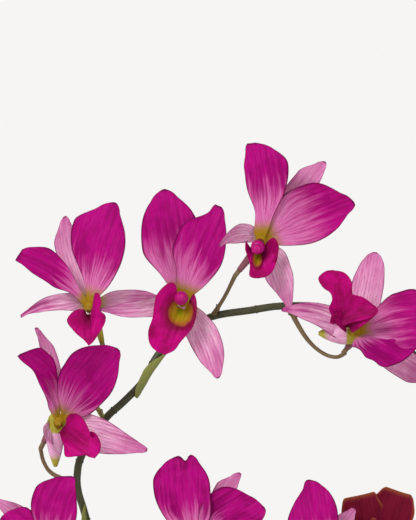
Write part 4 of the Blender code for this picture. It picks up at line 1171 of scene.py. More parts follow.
def clay_skin(name):
    """Unglazed clay."""
    r = Recipe(name, Specular_IOR_Level=0.3)
    place = r.place()
    blotch = r.noise(place, 28.0, 4.0, 0.6)
    grit = r.noise(place, 900.0, 2.0, 0.7)
    high = r.node("SeparateXYZ", {0: place}).outputs[2]
    rings = r.noise(r.point(0.0, 0.0, high), 420.0, 2.0, 0.5)
    salt = r.noise(place, 60.0, 5.0, 0.7)
    foot = r.fall(r.times_plus(blotch, 0.02, high), 0.012, 0.045)
    colour = r.ramp(blotch, (0.3, tone(158, 92, 62)), (0.55, tone(184, 112, 78)), (0.75, tone(200, 130, 94)))
    colour = r.mix(r.times(rings, 0.25), colour, tone(150, 84, 56))
    colour = r.mix(r.times(r.ease(grit, 0.6, 0.75), 0.35), colour, tone(120, 70, 48))
    bloom = r.times(r.ease(salt, 0.52, 0.7), r.plus(0.18, r.times(foot, 0.5)))
    colour = r.mix(bloom, colour, tone(222, 206, 188))
    r.relief(r.times_plus(rings, 0.6, r.times_plus(grit, 0.35, blotch)), 0.35, 0.6)
    return r.done(colour, r.times_plus(blotch, 0.15, 0.72))


def bark_skin(name):
    """Bark from dark to pale brown by each chip's own shade."""
    r = Recipe(name, Specular_IOR_Level=0.25)
    place = r.place()
    shade = r.number("chip_shade")
    grain = r.noise(place, 260.0, 5.0, 0.7)
    cloud = r.noise(place, 60.0, 3.0, 0.6)
    colour = r.ramp(
        shade, (0.0, tone(64, 40, 28)), (0.45, tone(104, 68, 46)), (0.8, tone(142, 100, 70)),
        (1.0, tone(170, 132, 98)),
    )
    colour = r.mix(r.ease(grain, 0.42, 0.68), colour, tone(48, 30, 22))
    colour = r.mix(r.times(r.ease(cloud, 0.55, 0.7), 0.4), colour, tone(92, 84, 66))
    r.relief(grain, 0.6, 0.9)
    return r.done(colour, r.times_plus(grain, 0.15, 0.75))


def root_skin(name):
    """The spongy pale skin of a root, with a green growing tip."""
    r = Recipe(name, Specular_IOR_Level=0.3, Sheen_Weight=0.2)
    _, along = r.map("blade")
    fan, far = r.map("veins")
    mottle = r.noise(r.point(fan, r.times(far, 0.5)), 0.9, 4.0, 0.65)
    colour = r.ramp(
        mottle, (0.35, tone(150, 148, 124)), (0.55, tone(190, 190, 172)), (0.75, tone(214, 214, 200)),
    )
    colour = r.mix(r.ease(r.times_plus(mottle, 0.05, along), 0.9, 1.0), colour, tone(112, 134, 60))
    r.relief(mottle, 0.2, 0.6)
    return r.done(colour, 0.7)


stem_finish = stem_skin("spray_stem_skin", tone(76, 78, 42), tone(34, 36, 20), tone(110, 112, 46))
stalk_finish = stem_skin("stalk_skin", tone(124, 106, 68), tone(90, 66, 48), tone(136, 134, 44))
cane_finish = stem_skin("cane_skin", tone(126, 140, 62), tone(86, 100, 44), tone(164, 160, 84))
bract_finish = stem_skin("bract_skin", tone(112, 104, 58), tone(78, 62, 40), tone(116, 124, 54), 0.6)
leaf_finish = leaf_skin("leaf_skin", tone(86, 120, 50), tone(56, 92, 38), tone(136, 158, 82))
paper_finish = paper_skin("sheath_skin")
clay_finish = clay_skin("clay_skin")
bark_finish = bark_skin("bark_chip_skin")
root_finish = root_skin("root_skin")
print("finishes in all:", len(bpy.data.materials))

# %% [markdown]
# ## The blooms
#
# A bloom is built in the order in which it is carried: the ovary and the chin grow from the back, the three
# sepals stand on them, the two petals sit in front, the lip hangs from the foot of the column, and the
# column stands out in the middle with its cap. Each group replaces the solid of the same name, and follows
# the same values, so it lies where the solid lies.

# %% One bloom
# where on a petal's length its finish takes the colour of the other parts: 0 is the yellow-green root, near 1
# the pale end and beyond 1.2 the brown of an ovary
HUB_PLACE = 0.06
CHIN_ROOT_PLACE = 0.01
CHIN_PALE_PLACE = 0.93
OVARY_PLACE = 1.5
# a column slimmer than this share of the plain one is olive all over
SLIM_COLUMN = 0.8
LIP_HINGE_DROP = 0.75
FLAP_FORWARD = 7


def hub(centre, axis, size):
    """The small rounded middle that the blades grow from."""
    angles = np.linspace(0, math.pi, 13)[1:-1]
    profile = [(size[0] * math.sin(a), -size[1] * math.cos(a)) for a in angles]
    made = turned_lump(centre, axis, profile, 24)
    made["blade"][..., 1] = HUB_PLACE
    return made


def column(front, cap, size):
    """The column: it widens to the cap that closes its end. size is its share of the plain thickness."""
    axis = unit(cap - front)
    route = [front + (cap - front) * t for t in np.linspace(0, 1, 14)]
    stalk = tube(route, [r * size for r in COLUMN_RADII + COLUMN_HEAD_RADII], 24)
    profile = []
    for a in np.linspace(0, math.pi, 15)[1:-1]:
        bulge = size * (1 + 0.1 * math.sin(2 * a))
        profile.append((CAP[0] * math.sin(a) * bulge * 0.9, -CAP[1] * math.cos(a) * size + 0.7))
    lid = turned_lump(cap, axis, profile, 24)
    offset = lid["points"] - cap
    notch = np.exp(-((offset[..., 0] / 0.6) ** 2)) * ease(offset @ axis, 0.5, 2.0)
    lid["points"] = lid["points"] - notch[..., None] * axis * 0.5
    bright = size > SLIM_COLUMN
    lid["blade"][..., 1] = 0.7 + 0.22 * lid["blade"][..., 1] if bright else 0.0
    stalk["blade"][..., 1] *= bright
    return [stalk, lid]


def ribbed(route, radii, ribs, depth):
    """A tube with lengthwise ribs, such as an ovary."""
    made = tube(route, radii, 36)
    middle = made["points"][:, :-1].mean(axis=1, keepdims=True)
    angles = np.linspace(0, 2 * math.pi, made["points"].shape[1])
    swell = 1 + depth * np.cos(ribs * angles)[None, :, None]
    made["points"] = middle + (made["points"] - middle) * swell
    return made


def bloom(letter, plan):
    """Builds one bloom's pieces and returns where its stalk meets the ovary, and which way that points."""
    middle = np.array([plan["middle"][0], -plan["forward"], plan["middle"][1]])
    face = unit(on_bloom((plan["face"][0], plan["face"][2], plan["face"][1])))
    upward = unit(on_bloom((*plan["up"], 0)))
    faded = plan.get("faded", False)
    back = middle + face * SEPAL_BACK
    front = middle + face * PETAL_FRONT
    order = list(BLOOMS).index(letter)

    def blades(rows, root, **shape):
        made = []
        for k, values in enumerate(rows):
            values = {"seed": order * 5 + k, **shape, **values, "tip": middle + on_bloom(values["tip"])}
            made.append(blade(root, face, **values))
        return made

    chin_tip = middle + on_bloom(plan["chin"])
    ovary_end = middle + on_bloom(plan["ovary"])
    chin_route = [back + (chin_tip - back) * t for t in np.linspace(0, 1, 16)]
    wide = plan.get("chin_width", 1)
    chin = tube(chin_route, [r * wide for r in CHIN_RADII[:-1]] + [CHIN_RADII[-1]], 24)
    share = chin["blade"][..., 1]
    pale = CHIN_PALE_PLACE * (1 - share ** 0.85) * ease(share, 0.2, 0.5)
    chin["blade"][..., 1] = CHIN_ROOT_PLACE + pale
    ovary = ribbed([back + (ovary_end - back) * t for t in np.linspace(0, 1, 12)], OVARY_RADII, 6, 0.06)
    ovary["blade"][..., 1] = plan.get("ovary_shade", OVARY_PLACE)
    patches = blades(plan["sepals"], back, ruffle=0.2) + [hub(back, face, SEPAL_HUB), chin, ovary]
    finish = faded_sepal_finish if faded else sepal_finish
    slots = ("faded_sepal", "faded_petal", "faded_petal") if faded else ("sepal", "petal", "lip")
    dress(piece(f"bloom_{letter}_sepal_set", patches, finish), slots[0], f"bloom_{letter}_sepals")

    patches = blades(plan["petals"], front, ruffle=0.5) + [hub(front, face, PETAL_HUB)]
    finish = faded_petal_finish if faded else petal_finish
    dress(piece(f"bloom_{letter}_petal_pair", patches, finish), slots[1], f"bloom_{letter}_petals")
    cap = front + face * COLUMN_LENGTH * plan.get("reach", 1) + on_bloom((*plan["column"], 0))
    finish = faded_column_finish if faded else column_finish
    dress(piece(f"bloom_{letter}_column", column(front, cap, plan.get("cap", 0.9)), finish), slots[1])

    values = dict(plan["lip"], tip=middle + on_bloom(plan["lip"]["tip"]), seed=order)
    flaps = values.pop("flaps", [])
    lip_root = middle - upward * LIP_DROP + face * LIP_FORWARD
    hinge = front - upward * (PETAL_HUB[0] + LIP_HINGE_DROP)
    finish = faded_lip_finish if faded else lip_finish
    sheets = [lip_patch(hinge, lip_root, face, **values)]
    for flap in blades(flaps, lip_root + face * FLAP_FORWARD, claw=2, ruffle=0.3):
        flap["veins"][..., 0] *= 0.5
        flap["blade"][..., 1] = 0.1 + 0.25 * flap["blade"][..., 1]
        sheets.append(dict(flap, pale=NO_POCKET, deep=0.15))
    dress(piece(f"bloom_{letter}_lip_sheet", sheets, finish), slots[2], f"bloom_{letter}_lip")
    return ovary_end, unit(ovary_end - back)


ends = {letter: bloom(letter, plan) for letter, plan in BLOOMS.items()}
squares = sum(len(obj.data.polygons) for obj in bpy.data.objects if obj.type == "MESH")
print("blooms:", len(ends), " triangles so far:", squares * 2)

# %% [markdown]
# ## Buds
#
# A bud is three sepals still closed over each other, so its body is a long egg with three seams, a bent tip
# and the chin standing out at its foot. Three bent blades would have to meet exactly along their edges, so
# the egg is one turned lump, and a formula round its axis cuts the seams into it.

# %% The buds
BUD_SIDES = 48
SEAM_WIDTH = 0.07
SEAM_DEPTH = 0.07
BUD_BEND = 0.08


def bud(name, plan):
    """One bud; returns where its stalk meets it and which way it points."""
    tip = np.asarray(plan["tip"], float)
    length, radius = plan["length"], plan["radius"]
    way = unit(tip - np.asarray(plan["base"], float))
    middle = tip - way * length / 2
    root = tip - way * (length + 1)
    down = unit(np.array([0, 0, -1.0]) - way * np.dot(way, (0, 0, -1.0)))
    profile = []
    for t in np.linspace(0.02, 0.98, 30):
        swell = math.sin(math.pi * t ** 0.85) ** 0.75 * (1 - 0.18 * t)
        profile.append((max(0.35, radius * swell), length * (t - 0.5)))
    egg = turned_lump(middle, way, profile, BUD_SIDES)
    centre = egg["points"][:, :-1].mean(axis=1, keepdims=True)
    angles = np.linspace(0, 2 * math.pi, BUD_SIDES + 1)
    share = np.linspace(0, 1, len(profile) + 2)[:, None]
    from_seam = (angles * 3 / (2 * math.pi)) % 1 - 0.5
    seam = np.exp(-((from_seam / SEAM_WIDTH) ** 2))[None, :] * np.sin(math.pi * share) ** 0.6
    egg["points"] = centre + (egg["points"] - centre) * (1 - SEAM_DEPTH * seam)[..., None]
    egg["points"] = egg["points"] - down * BUD_BEND * length * share[..., None] ** 3
    around = np.broadcast_to(angles / (2 * math.pi), seam.shape)
    egg["blade"] = np.stack([around, np.broadcast_to(share, seam.shape)], -1)
    egg["pale"] = 0.1
    chin_root = middle - way * length * 0.1
    chin_middle = middle - way * length * 0.2 + down * radius * 0.6
    chin_tip = middle - way * length / 4 + down * radius
    chin = tube([chin_root, chin_middle, chin_tip], (radius * 0.7, radius * 0.5, 1.0), 20)
    neck = tube([root, root + way * 1.2, middle - way * length * 0.36], (1.0, 1.05, radius * 0.5), 20)
    neck["blade"][..., 1] *= 0.05
    dress(piece(name + "_closed", [egg, chin, neck], sepal_finish), "bud", name)
    return root, way


bud_roots = {}
for side in ("upper", "lower"):
    rows = SPRAYS[f"{side}_spray_stem"]["buds"]
    bud_roots[side] = [bud(f"bud_{side}_{i}", plan) for i, plan in enumerate(rows, 1)]
print("buds:", sum(len(roots) for roots in bud_roots.values()))

# %% [markdown]
# ## Stems, stalks and bracts
#
# The stem of a spray is a long thin rod that bends a little at every node, with a papery bract at the foot
# of each stalk. The rod itself is a tube along the route. The low rings of its nodes repeat along that
# route at a fixed step, which is a job for a node tree: it reads the route as a curve, puts points on it by
# length and sets a ring on each, turned to the curve.

# %% A node tree that sets rings along a curve
def named_inputs(tree, wanted):
    """Inputs with these names, kinds and first values; returns what a modifier calls each of them."""
    ids = {}
    for name, (kind, value) in wanted.items():
        socket = tree.interface.new_socket(name, in_out="INPUT", socket_type="NodeSocket" + kind)
        if value is not None:
            socket.default_value = value
        ids[name] = socket.identifier
    return ids


def preset(node, values):
    """Plain values for some of a node's inputs."""
    for socket, value in values.items():
        node.inputs[socket].default_value = value


def joiner(tree):
    """A function that joins a node's output to another node's input."""
    return lambda giver, output, taker, socket: tree.links.new(giver.outputs[output], taker.inputs[socket])


def node_tree(name):
    """An empty tree with geometry going in and out; returns it with its two end nodes."""
    tree = bpy.data.node_groups.new(name, "GeometryNodeTree")
    tree.interface.new_socket("Geometry", in_out="INPUT", socket_type="NodeSocketGeometry")
    tree.interface.new_socket("Geometry", in_out="OUTPUT", socket_type="NodeSocketGeometry")
    return tree, tree.nodes.new("NodeGroupInput"), tree.nodes.new("NodeGroupOutput")


def ring_tree():
    """Rings along a curve that knows its radius: their Step and Ring width in metres, and their finish."""
    tree, start, end = node_tree("rings along a curve")
    ids = named_inputs(tree, {
        "Step": ("Float", 0.02), "Ring width": ("Float", 0.001), "Finish": ("Material", None),
    })
    points = tree.nodes.new("GeometryNodeCurveToPoints")
    points.mode = "LENGTH"
    ring = tree.nodes.new("GeometryNodeMeshCylinder")
    preset(ring, {"Vertices": 20, "Side Segments": 4, "Radius": 1.0, "Depth": 1.0})
    radius = tree.nodes.new("GeometryNodeInputRadius")
    keep = tree.nodes.new("GeometryNodeCaptureAttribute")
    keep.domain = "POINT"
    keep.capture_items.new("FLOAT", "radius")
    size = tree.nodes.new("ShaderNodeCombineXYZ")
    put = tree.nodes.new("GeometryNodeInstanceOnPoints")
    real = tree.nodes.new("GeometryNodeRealizeInstances")
    smooth = tree.nodes.new("GeometryNodeSetShadeSmooth")
    finish = tree.nodes.new("GeometryNodeSetMaterial")
    join = joiner(tree)
    join(start, "Geometry", keep, "Geometry")
    join(radius, 0, keep, 1)
    join(keep, "Geometry", points, "Curve")
    join(start, "Step", points, "Length")
    join(points, "Points", put, "Points")
    join(points, "Rotation", put, "Rotation")
    join(ring, "Mesh", put, "Instance")
    join(keep, 1, size, 0)
    join(keep, 1, size, 1)
    join(start, "Ring width", size, 2)
    join(size, 0, put, "Scale")
    join(put, "Instances", real, "Geometry")
    join(real, "Geometry", smooth, "Geometry")
    join(smooth, "Geometry", finish, "Geometry")
    join(start, "Finish", finish, "Material")
    join(finish, "Geometry", end, "Geometry")
    return tree, ids


def grown_by(name, source, tree, ids, values):
    """The mesh that a tree makes from a source object; the source is removed."""
    grow = source.modifiers.new("grow", "NODES")
    grow.node_group = tree
    for label, value in values.items():
        grow[ids[label]] = value
    bpy.context.view_layer.update()
    graph = bpy.context.evaluated_depsgraph_get()
    mesh = bpy.data.meshes.new_from_object(source.evaluated_get(graph))
    bpy.data.objects.remove(source)
    mesh.name = name
    return placed(name, mesh)


def route_curve(route, radii):
    """A route in mm as a curve in metres that knows its radius at every point."""
    line = bpy.data.curves.new("route", "CURVE")
    line.dimensions = "3D"
    spline = line.splines.new("POLY")
    spline.points.add(len(route) - 1)
    sizes = np.interp(np.linspace(0, 1, len(route)), np.linspace(0, 1, len(radii)), radii)
    for point, place, size in zip(spline.points, route, sizes):
        point.co = (*(np.asarray(place) * MM), 1)
        point.radius = size * MM
    return placed("route", line)


rings, ring_inputs = ring_tree()
print("inputs of the ring tree:", list(ring_inputs))

# %% The sprays: stems, stalks, bracts and node rings
STEM_NODE_STEP = 24.0
RING_PROUD = 0.2
RING_WIDTH = 0.7
BRACT_LENGTH = 5.0
BUD_BRACT_LENGTH = 4.0
BRACT_SHARES = (1.2, 1.1, 0.7, 0.35)
STALK_SINK = 0.4
# the blooms whose stalks are yellow-green
GREEN_STALKS = "ab"


def bract(base, way, outward, length=BRACT_LENGTH, half=1.5, lean=1.2, seed=0):
    """A small pointed papery scale that hugs the stalk it grows under, its tip leaning outward."""
    tip = base + way * length + outward * lean
    widths = [half * share for share in BRACT_SHARES]
    return blade(
        base - way * 0.6, outward, tip, widths, widths, cup=-62, claw=half, end=0.15, ruffle=0.1,
        seed=seed, rows=14, half_columns=6, bow=-0.3,
    )


def spray(name, plan, roots):
    """The stem of a spray with its stalks, its node rings and a bract under each stalk."""
    route = smooth_route(plan["route"], 5)
    stem = tube(route, STEM_RADII, 18)
    stalks, bracts = [], []
    for k, (letter, points) in enumerate(plan["stalks"].items()):
        end, way = ends[letter]
        line = smooth_route(points + [end + way * STALK_STRAIGHT], 7) + [end - way * STALK_SINK]
        stalks.append(dict(tube(line, STALK_RADII, 16, k + 1), pale=float(letter in GREEN_STALKS)))
        ahead = unit(line[4] - line[0])
        bracts.append(bract(line[0] + ahead * 1.2, ahead, unit(np.cross(ahead, (0.2, 1, 0.1))), seed=k))
    for k, (values, (root, way)) in enumerate(zip(plan["buds"], roots)):
        base = np.asarray(values["base"], float)
        line = [base + (root + way * STALK_SINK - base) * t for t in np.linspace(0, 1, 8)]
        stalks.append(tube(line, STALK_RADII, 14, k + 11))
        bracts.append(bract(base, way, unit(np.cross(way, (0.2, 1, 0.1))), BUD_BRACT_LENGTH, seed=k + 7))
    for foot, top, outward, half in plan.get("sheaths", []):
        foot, top = np.asarray(foot, float), np.asarray(top, float)
        way = unit(top - foot)
        wrap = bract(foot, way, unit(outward), np.linalg.norm(top - foot), half, 0, seed=3)
        bracts.append(dict(wrap, pale=1.0))
    dress(piece(name + "_rod", [stem], stem_finish), "spray_stem", name)
    dress(piece(name + "_stalks", stalks, stalk_finish), "spray_stem")
    dress(piece(name + "_bracts", bracts, bract_finish), "spray_stem")
    guide = route_curve(route, [r + RING_PROUD for r in STEM_RADII])
    values = {"Step": STEM_NODE_STEP * MM, "Ring width": RING_WIDTH * MM, "Finish": stem_finish}
    dress(grown_by(name + "_nodes", guide, rings, ring_inputs, values), "spray_stem")


for name, plan in SPRAYS.items():
    spray(name, plan, bud_roots[name.split("_")[0]])

# %% [markdown]
# ## Canes and leaves
#
# A cane swells out of the bark, is ringed every 21 mm and thins again towards its top. Each ring carries a
# dry papery sheath that wraps the length above it and has a torn, slanting mouth. The leaves clasp the cane
# with their roots, arch outwards and have a furrow along the middle. The cane could be a stack of rings, but
# one tube whose radius swells at each ring stays smooth, and the sheaths then read the same radii.

# %% The canes
CANE_LIFT = 0.4
CANE_KNEE = 8
BARE_TOP = 20
SHEATH_COLUMNS = 30
SHEATH_OPENING = 0.06


def cane_route(plan):
    """A cane's middle line: upright out of the medium, then leaning to its top."""
    foot = np.array([*plan["foot"], MEDIUM_TOP - HOLE_DEPTH + CANE_LIFT])
    top = np.asarray(plan["top"], float)
    knee = np.array([*plan["foot"], MEDIUM_TOP + CANE_KNEE])
    lean = np.array([(top[0] + 2 * foot[0]) / 3, (top[1] + 2 * foot[1]) / 3, (top[2] + knee[2]) / 2])
    return [foot, knee, lean, top]


def cane_radius(share, greatest):
    """Slim in the medium, thickest at two fifths of its height and slim again at the top."""
    shares = (0, 0.16, 0.42, 0.75, 1)
    radii = (CANE_NECK * greatest, CANE_NECK * greatest, greatest, 0.72 * greatest, 0.42 * greatest)
    return through(share, shares, radii)


def sheath(route, radii, low, high, seed):
    """A papery wrap between two heights, open along one side and cut aslant at its mouth."""
    inside = [i for i, point in enumerate(route) if low <= point[2] <= high]
    rows = len(inside)
    opening = 2.1 * seed
    half_turn = (1 - SHEATH_OPENING) * math.pi
    angles = np.linspace(-half_turn, half_turn, SHEATH_COLUMNS) + opening
    points = np.zeros((rows, SHEATH_COLUMNS, 3))
    veins = np.zeros((rows, SHEATH_COLUMNS, 2))
    share = np.zeros((rows, 1))
    for i, k in enumerate(inside):
        t = i / (rows - 1)
        share[i] = t
        for j, angle in enumerate(angles):
            mouth = 0.5 + 0.5 * math.cos(angle - opening)
            loose = 0.35 + 0.9 * t ** 3 * (0.4 + mouth) + 0.15 * math.sin(3 * angle + 5 * t + seed)
            drop = (high - low) * 0.35 * (1 - mouth) * t ** 2 + 0.7 * math.sin(11 * angle + seed) * t ** 3
            radius = radii[k] + loose
            points[i, j] = route[k] + np.array([math.cos(angle) * radius, math.sin(angle) * radius, -drop])
            veins[i, j] = angle * radius, t * (high - low) + VEIN_SHIFT * seed
    return patch(points, np.linspace(0, 1, SHEATH_COLUMNS), share, veins)


def leafy_cane(name, plan, order):
    """One cane with its rings, its papery sheaths and its leaves."""
    route = smooth_route(cane_route(plan), 26)
    foot, top = route[0][2], route[-1][2]
    radii = []
    for point in route:
        height = point[2] - MEDIUM_TOP
        ring = math.sin(math.pi * height / CANE_NODE_SPACING) ** 8 if height > CANE_NODE_SPACING / 4 else 0
        radii.append(cane_radius((point[2] - foot) / (top - foot), plan["radius"]) + CANE_RING * ring)
    body = tube(route, radii, 36)
    dress(piece(name + "_stem", [body], cane_finish), "cane_and_leaf", name)
    wraps = []
    height, step = MEDIUM_TOP + CANE_NODE_SPACING * 0.45, CANE_NODE_SPACING
    while height + step < top - BARE_TOP:
        wraps.append(sheath(route, radii, height, height + step * 0.9, order + len(wraps)))
        height += step
    dress(piece(name + "_sheaths", wraps, paper_finish, thickness=0.25, edge=0.12), "cane_and_leaf")
    leaves = []
    for k, (height, direction, length, rise, drop, half) in enumerate(plan["leaves"]):
        place = min(smooth_route(cane_route(plan), 4), key=lambda p: abs(p[2] - height))
        heading = math.radians(direction)
        outward = np.array([math.cos(heading), math.sin(heading), 0])
        tip = place + outward * length + np.array([0, 0, rise - drop])
        widths = [half * share for share in LEAF_WIDTHS]
        leaves.append(blade(
            place, (0, 0, 1), tip, widths, widths, bow=rise / 2 + drop / 4, cup=LEAF_CUP, claw=half / 2,
            ruffle=0.6, seed=order * 5 + k, rows=56, half_columns=16,
        ))
    dress(piece(name + "_leaves", leaves, leaf_finish, thickness=0.8, edge=0.35), "cane_and_leaf")


for order, (name, plan) in enumerate(CANES.items()):
    leafy_cane(name, plan, order)
print("canes:", len(CANES), " leaves:", sum(len(plan["leaves"]) for plan in CANES.values()))

# %% [markdown]
# ## The pot
#
# A clay pot is thrown or pressed as a turned shape, so its wall is one profile turned about the axis. The
# profile has a rounded rim, a collar with a soft step under it, and faint rings on the wall. Turning it in
# code, and not with a Screw modifier, gives it its map round and up in the same step.

# %% The pot
POT_SIDES = 144
POT_HOLLOW = 0.6
FOOT_ROUND = 1.4
RIM_ROUND = 2
MOUTH_ROUND = 1.6
STEP_FILLET = 1.2
STEP_DROP = 2


def pot_inside(height):
    """The radius of the pot's inside at a height."""
    foot = POT_FOOT_RADIUS - POT_WALL + 1
    mouth = POT_RIM_RADIUS - POT_COLLAR_STEP - POT_WALL + 1
    return foot + (mouth - foot) * (height - POT_FLOOR) / (POT_HEIGHT - POT_FLOOR)


def arc(centre, radius, first, last, steps):
    """Points of (radius, height) along an arc; angles in degrees from the outward direction."""
    angles = np.radians(np.linspace(first, last, steps))
    return [(centre[0] + radius * math.cos(a), centre[1] + radius * math.sin(a)) for a in angles]


def pot_profile():
    """The pot's outline as (radius, height), from the middle of its foot up, over the rim and down inside."""
    collar = POT_HEIGHT - POT_COLLAR_HEIGHT
    wall_top = POT_RIM_RADIUS - POT_COLLAR_STEP
    profile = [(0.01, POT_HOLLOW), (POT_FOOT_RADIUS * 0.5, POT_HOLLOW), (POT_FOOT_RADIUS - 6, POT_HOLLOW)]
    profile += arc((POT_FOOT_RADIUS - 3.2, 0.8), 0.8, 250, 290, 3)
    profile += arc((POT_FOOT_RADIUS - FOOT_ROUND, FOOT_ROUND), FOOT_ROUND, 280, 360, 6)
    for t in np.linspace(0.04, 1, 60):
        height = FOOT_ROUND + (collar - STEP_DROP - FOOT_ROUND) * t
        ring = 0.12 * math.sin(height * 1.7) + 0.08 * math.sin(height * 0.63 + 1)
        profile.append((POT_FOOT_RADIUS + (wall_top - POT_FOOT_RADIUS) * t + ring - 0.1, height))
    profile += arc((wall_top + STEP_FILLET, collar - STEP_DROP), STEP_FILLET, 180, 90, 5)
    profile += arc((POT_RIM_RADIUS - 3, collar + 0.9), 1.7, 270, 360, 5)
    for t in np.linspace(0.05, 1, 22):
        height = collar + 2 + (POT_COLLAR_HEIGHT - 4.2) * t
        profile.append((POT_RIM_RADIUS - 1.2 + 1.1 * t + 0.07 * math.sin(height * 2.1), height))
    profile += arc((POT_RIM_RADIUS - RIM_ROUND, POT_HEIGHT - RIM_ROUND), RIM_ROUND, 0, 90, 8)
    inner = pot_inside(POT_HEIGHT)
    profile += arc((inner + MOUTH_ROUND, POT_HEIGHT - MOUTH_ROUND), MOUTH_ROUND, 90, 180, 7)
    for height in np.linspace(POT_HEIGHT - 3, POT_FLOOR + 1, 30):
        profile.append((pot_inside(height), height))
    return profile + [(pot_inside(POT_FLOOR) - 1, POT_FLOOR), (0.01, POT_FLOOR)]


def turned_about_axis(profile, sides):
    """A profile turned about the pot's axis, very slightly out of round."""
    profile = np.array(profile)
    angles = np.linspace(0, 2 * math.pi, sides + 1)
    points = np.zeros((len(profile), sides + 1, 3))
    points[..., 0] = profile[:, :1] * np.cos(angles)
    points[..., 1] = profile[:, :1] * np.sin(angles)
    points[..., 2] = profile[:, 1:]
    wobble = 1 + 0.0012 * np.sin(2 * angles + 0.4) + 0.0008 * np.sin(5 * angles)
    points[..., :2] *= wobble[None, :, None]
    distance = walked(profile)
    veins = np.stack(np.broadcast_arrays(angles * POT_RIM_RADIUS, distance[:, None]), -1)
    made = patch(points, angles / (2 * math.pi), distance[:, None] / distance[-1], veins)
    made["round"] = True
    return made


pot = piece("pot_clay_wall", [turned_about_axis(pot_profile(), POT_SIDES)], clay_finish)
dress(pot, "pot_clay", "pot")
print("pot faces:", len(pot.data.polygons))

# %% [markdown]
# ## Bark and roots
#
# Orchids grow in loose chips of bark, with pale roots that creep over them. Hundreds of chips that lie at
# random are what a scatter tree is for: it puts points on the medium's top, sets one of a few chips on each
# with a random turn and size, and makes them real. Each chip also gets a number for its shade. A lumpy bed
# lies below them and fills the pot, so that no gap shows through.

# %% The bed under the chips
MEDIUM_PLAY = 0.8
BED_BOTTOM = POT_FLOOR + 0.4
BED_RINGS = 26
BED_SIDES = 96
BED_LUMP = 1.6
BED_SINK = 1.5


def bed_patch():
    """The medium as one closed lump: a lumpy top, walls that follow the pot and a flat bottom."""
    edge = pot_inside(MEDIUM_TOP) - MEDIUM_PLAY
    radii = np.linspace(0.01, 1, BED_RINGS) * edge
    angles = np.linspace(0, 2 * math.pi, BED_SIDES + 1)
    x, y = radii[:, None] * np.cos(angles), radii[:, None] * np.sin(angles)
    lumps = np.sin(x * 0.42 + 1) * np.cos(y * 0.37) + 0.6 * np.sin(x * 0.9 - y * 0.8)
    inner = ease(edge - np.hypot(x, y), 0, 6)
    points = np.stack([x, y, MEDIUM_TOP - BED_SINK + BED_LUMP * lumps * inner], -1)
    walls = []
    for height, share in ((60, 1), (30, 1), (BED_BOTTOM, 1), (BED_BOTTOM, 0.5), (BED_BOTTOM, 0.0002)):
        radius = (pot_inside(height) - MEDIUM_PLAY) * share
        ring = (radius * np.cos(angles), radius * np.sin(angles), np.full(BED_SIDES + 1, height))
        walls.append(np.stack(ring, -1))
    points = np.concatenate([points, walls])
    veins = points[..., :2].copy()
    made = patch(points, angles / (2 * math.pi), np.linspace(0, 1, len(points))[:, None], veins)
    made["round"] = True
    return made


bed = dress(piece("bark_bed", [bed_patch()], bark_finish), "bark_mix", "growing_medium")
print("bed faces:", len(bed.data.polygons))

# %% Chips scattered by a node tree
CHIP_SHAPES = ((1.0, 0.62, 0.26), (1.0, 0.45, 0.34), (0.8, 0.7, 0.2), (1.2, 0.5, 0.22))
CHIP_PLAY = 5
CHIP_SINK = 0.4
CHIP_ROUGHNESS = 0.22
# without a seed of its own this noise breaks the corners in another way at every run
noise.seed_set(SEED)


def chip(k, size):
    """One chip: a block with broken corners, in a few dozen faces."""
    bm = bmesh.new()
    bmesh.ops.create_cube(bm, size=1)
    bmesh.ops.subdivide_edges(bm, edges=bm.edges, cuts=1, use_grid_fill=True)
    for vert in bm.verts:
        rough = noise.noise_vector(vert.co * 2.3 + Vector((k * 5.1, 0, 0)))
        vert.co = vert.co + rough * CHIP_ROUGHNESS
        vert.co = Vector((vert.co.x * size[0], vert.co.y * size[1], vert.co.z * size[2]))
    mesh = bpy.data.meshes.new(f"chip_{k}")
    bm.to_mesh(mesh)
    bm.free()
    return bpy.data.objects.new(f"chip_{k}", mesh)


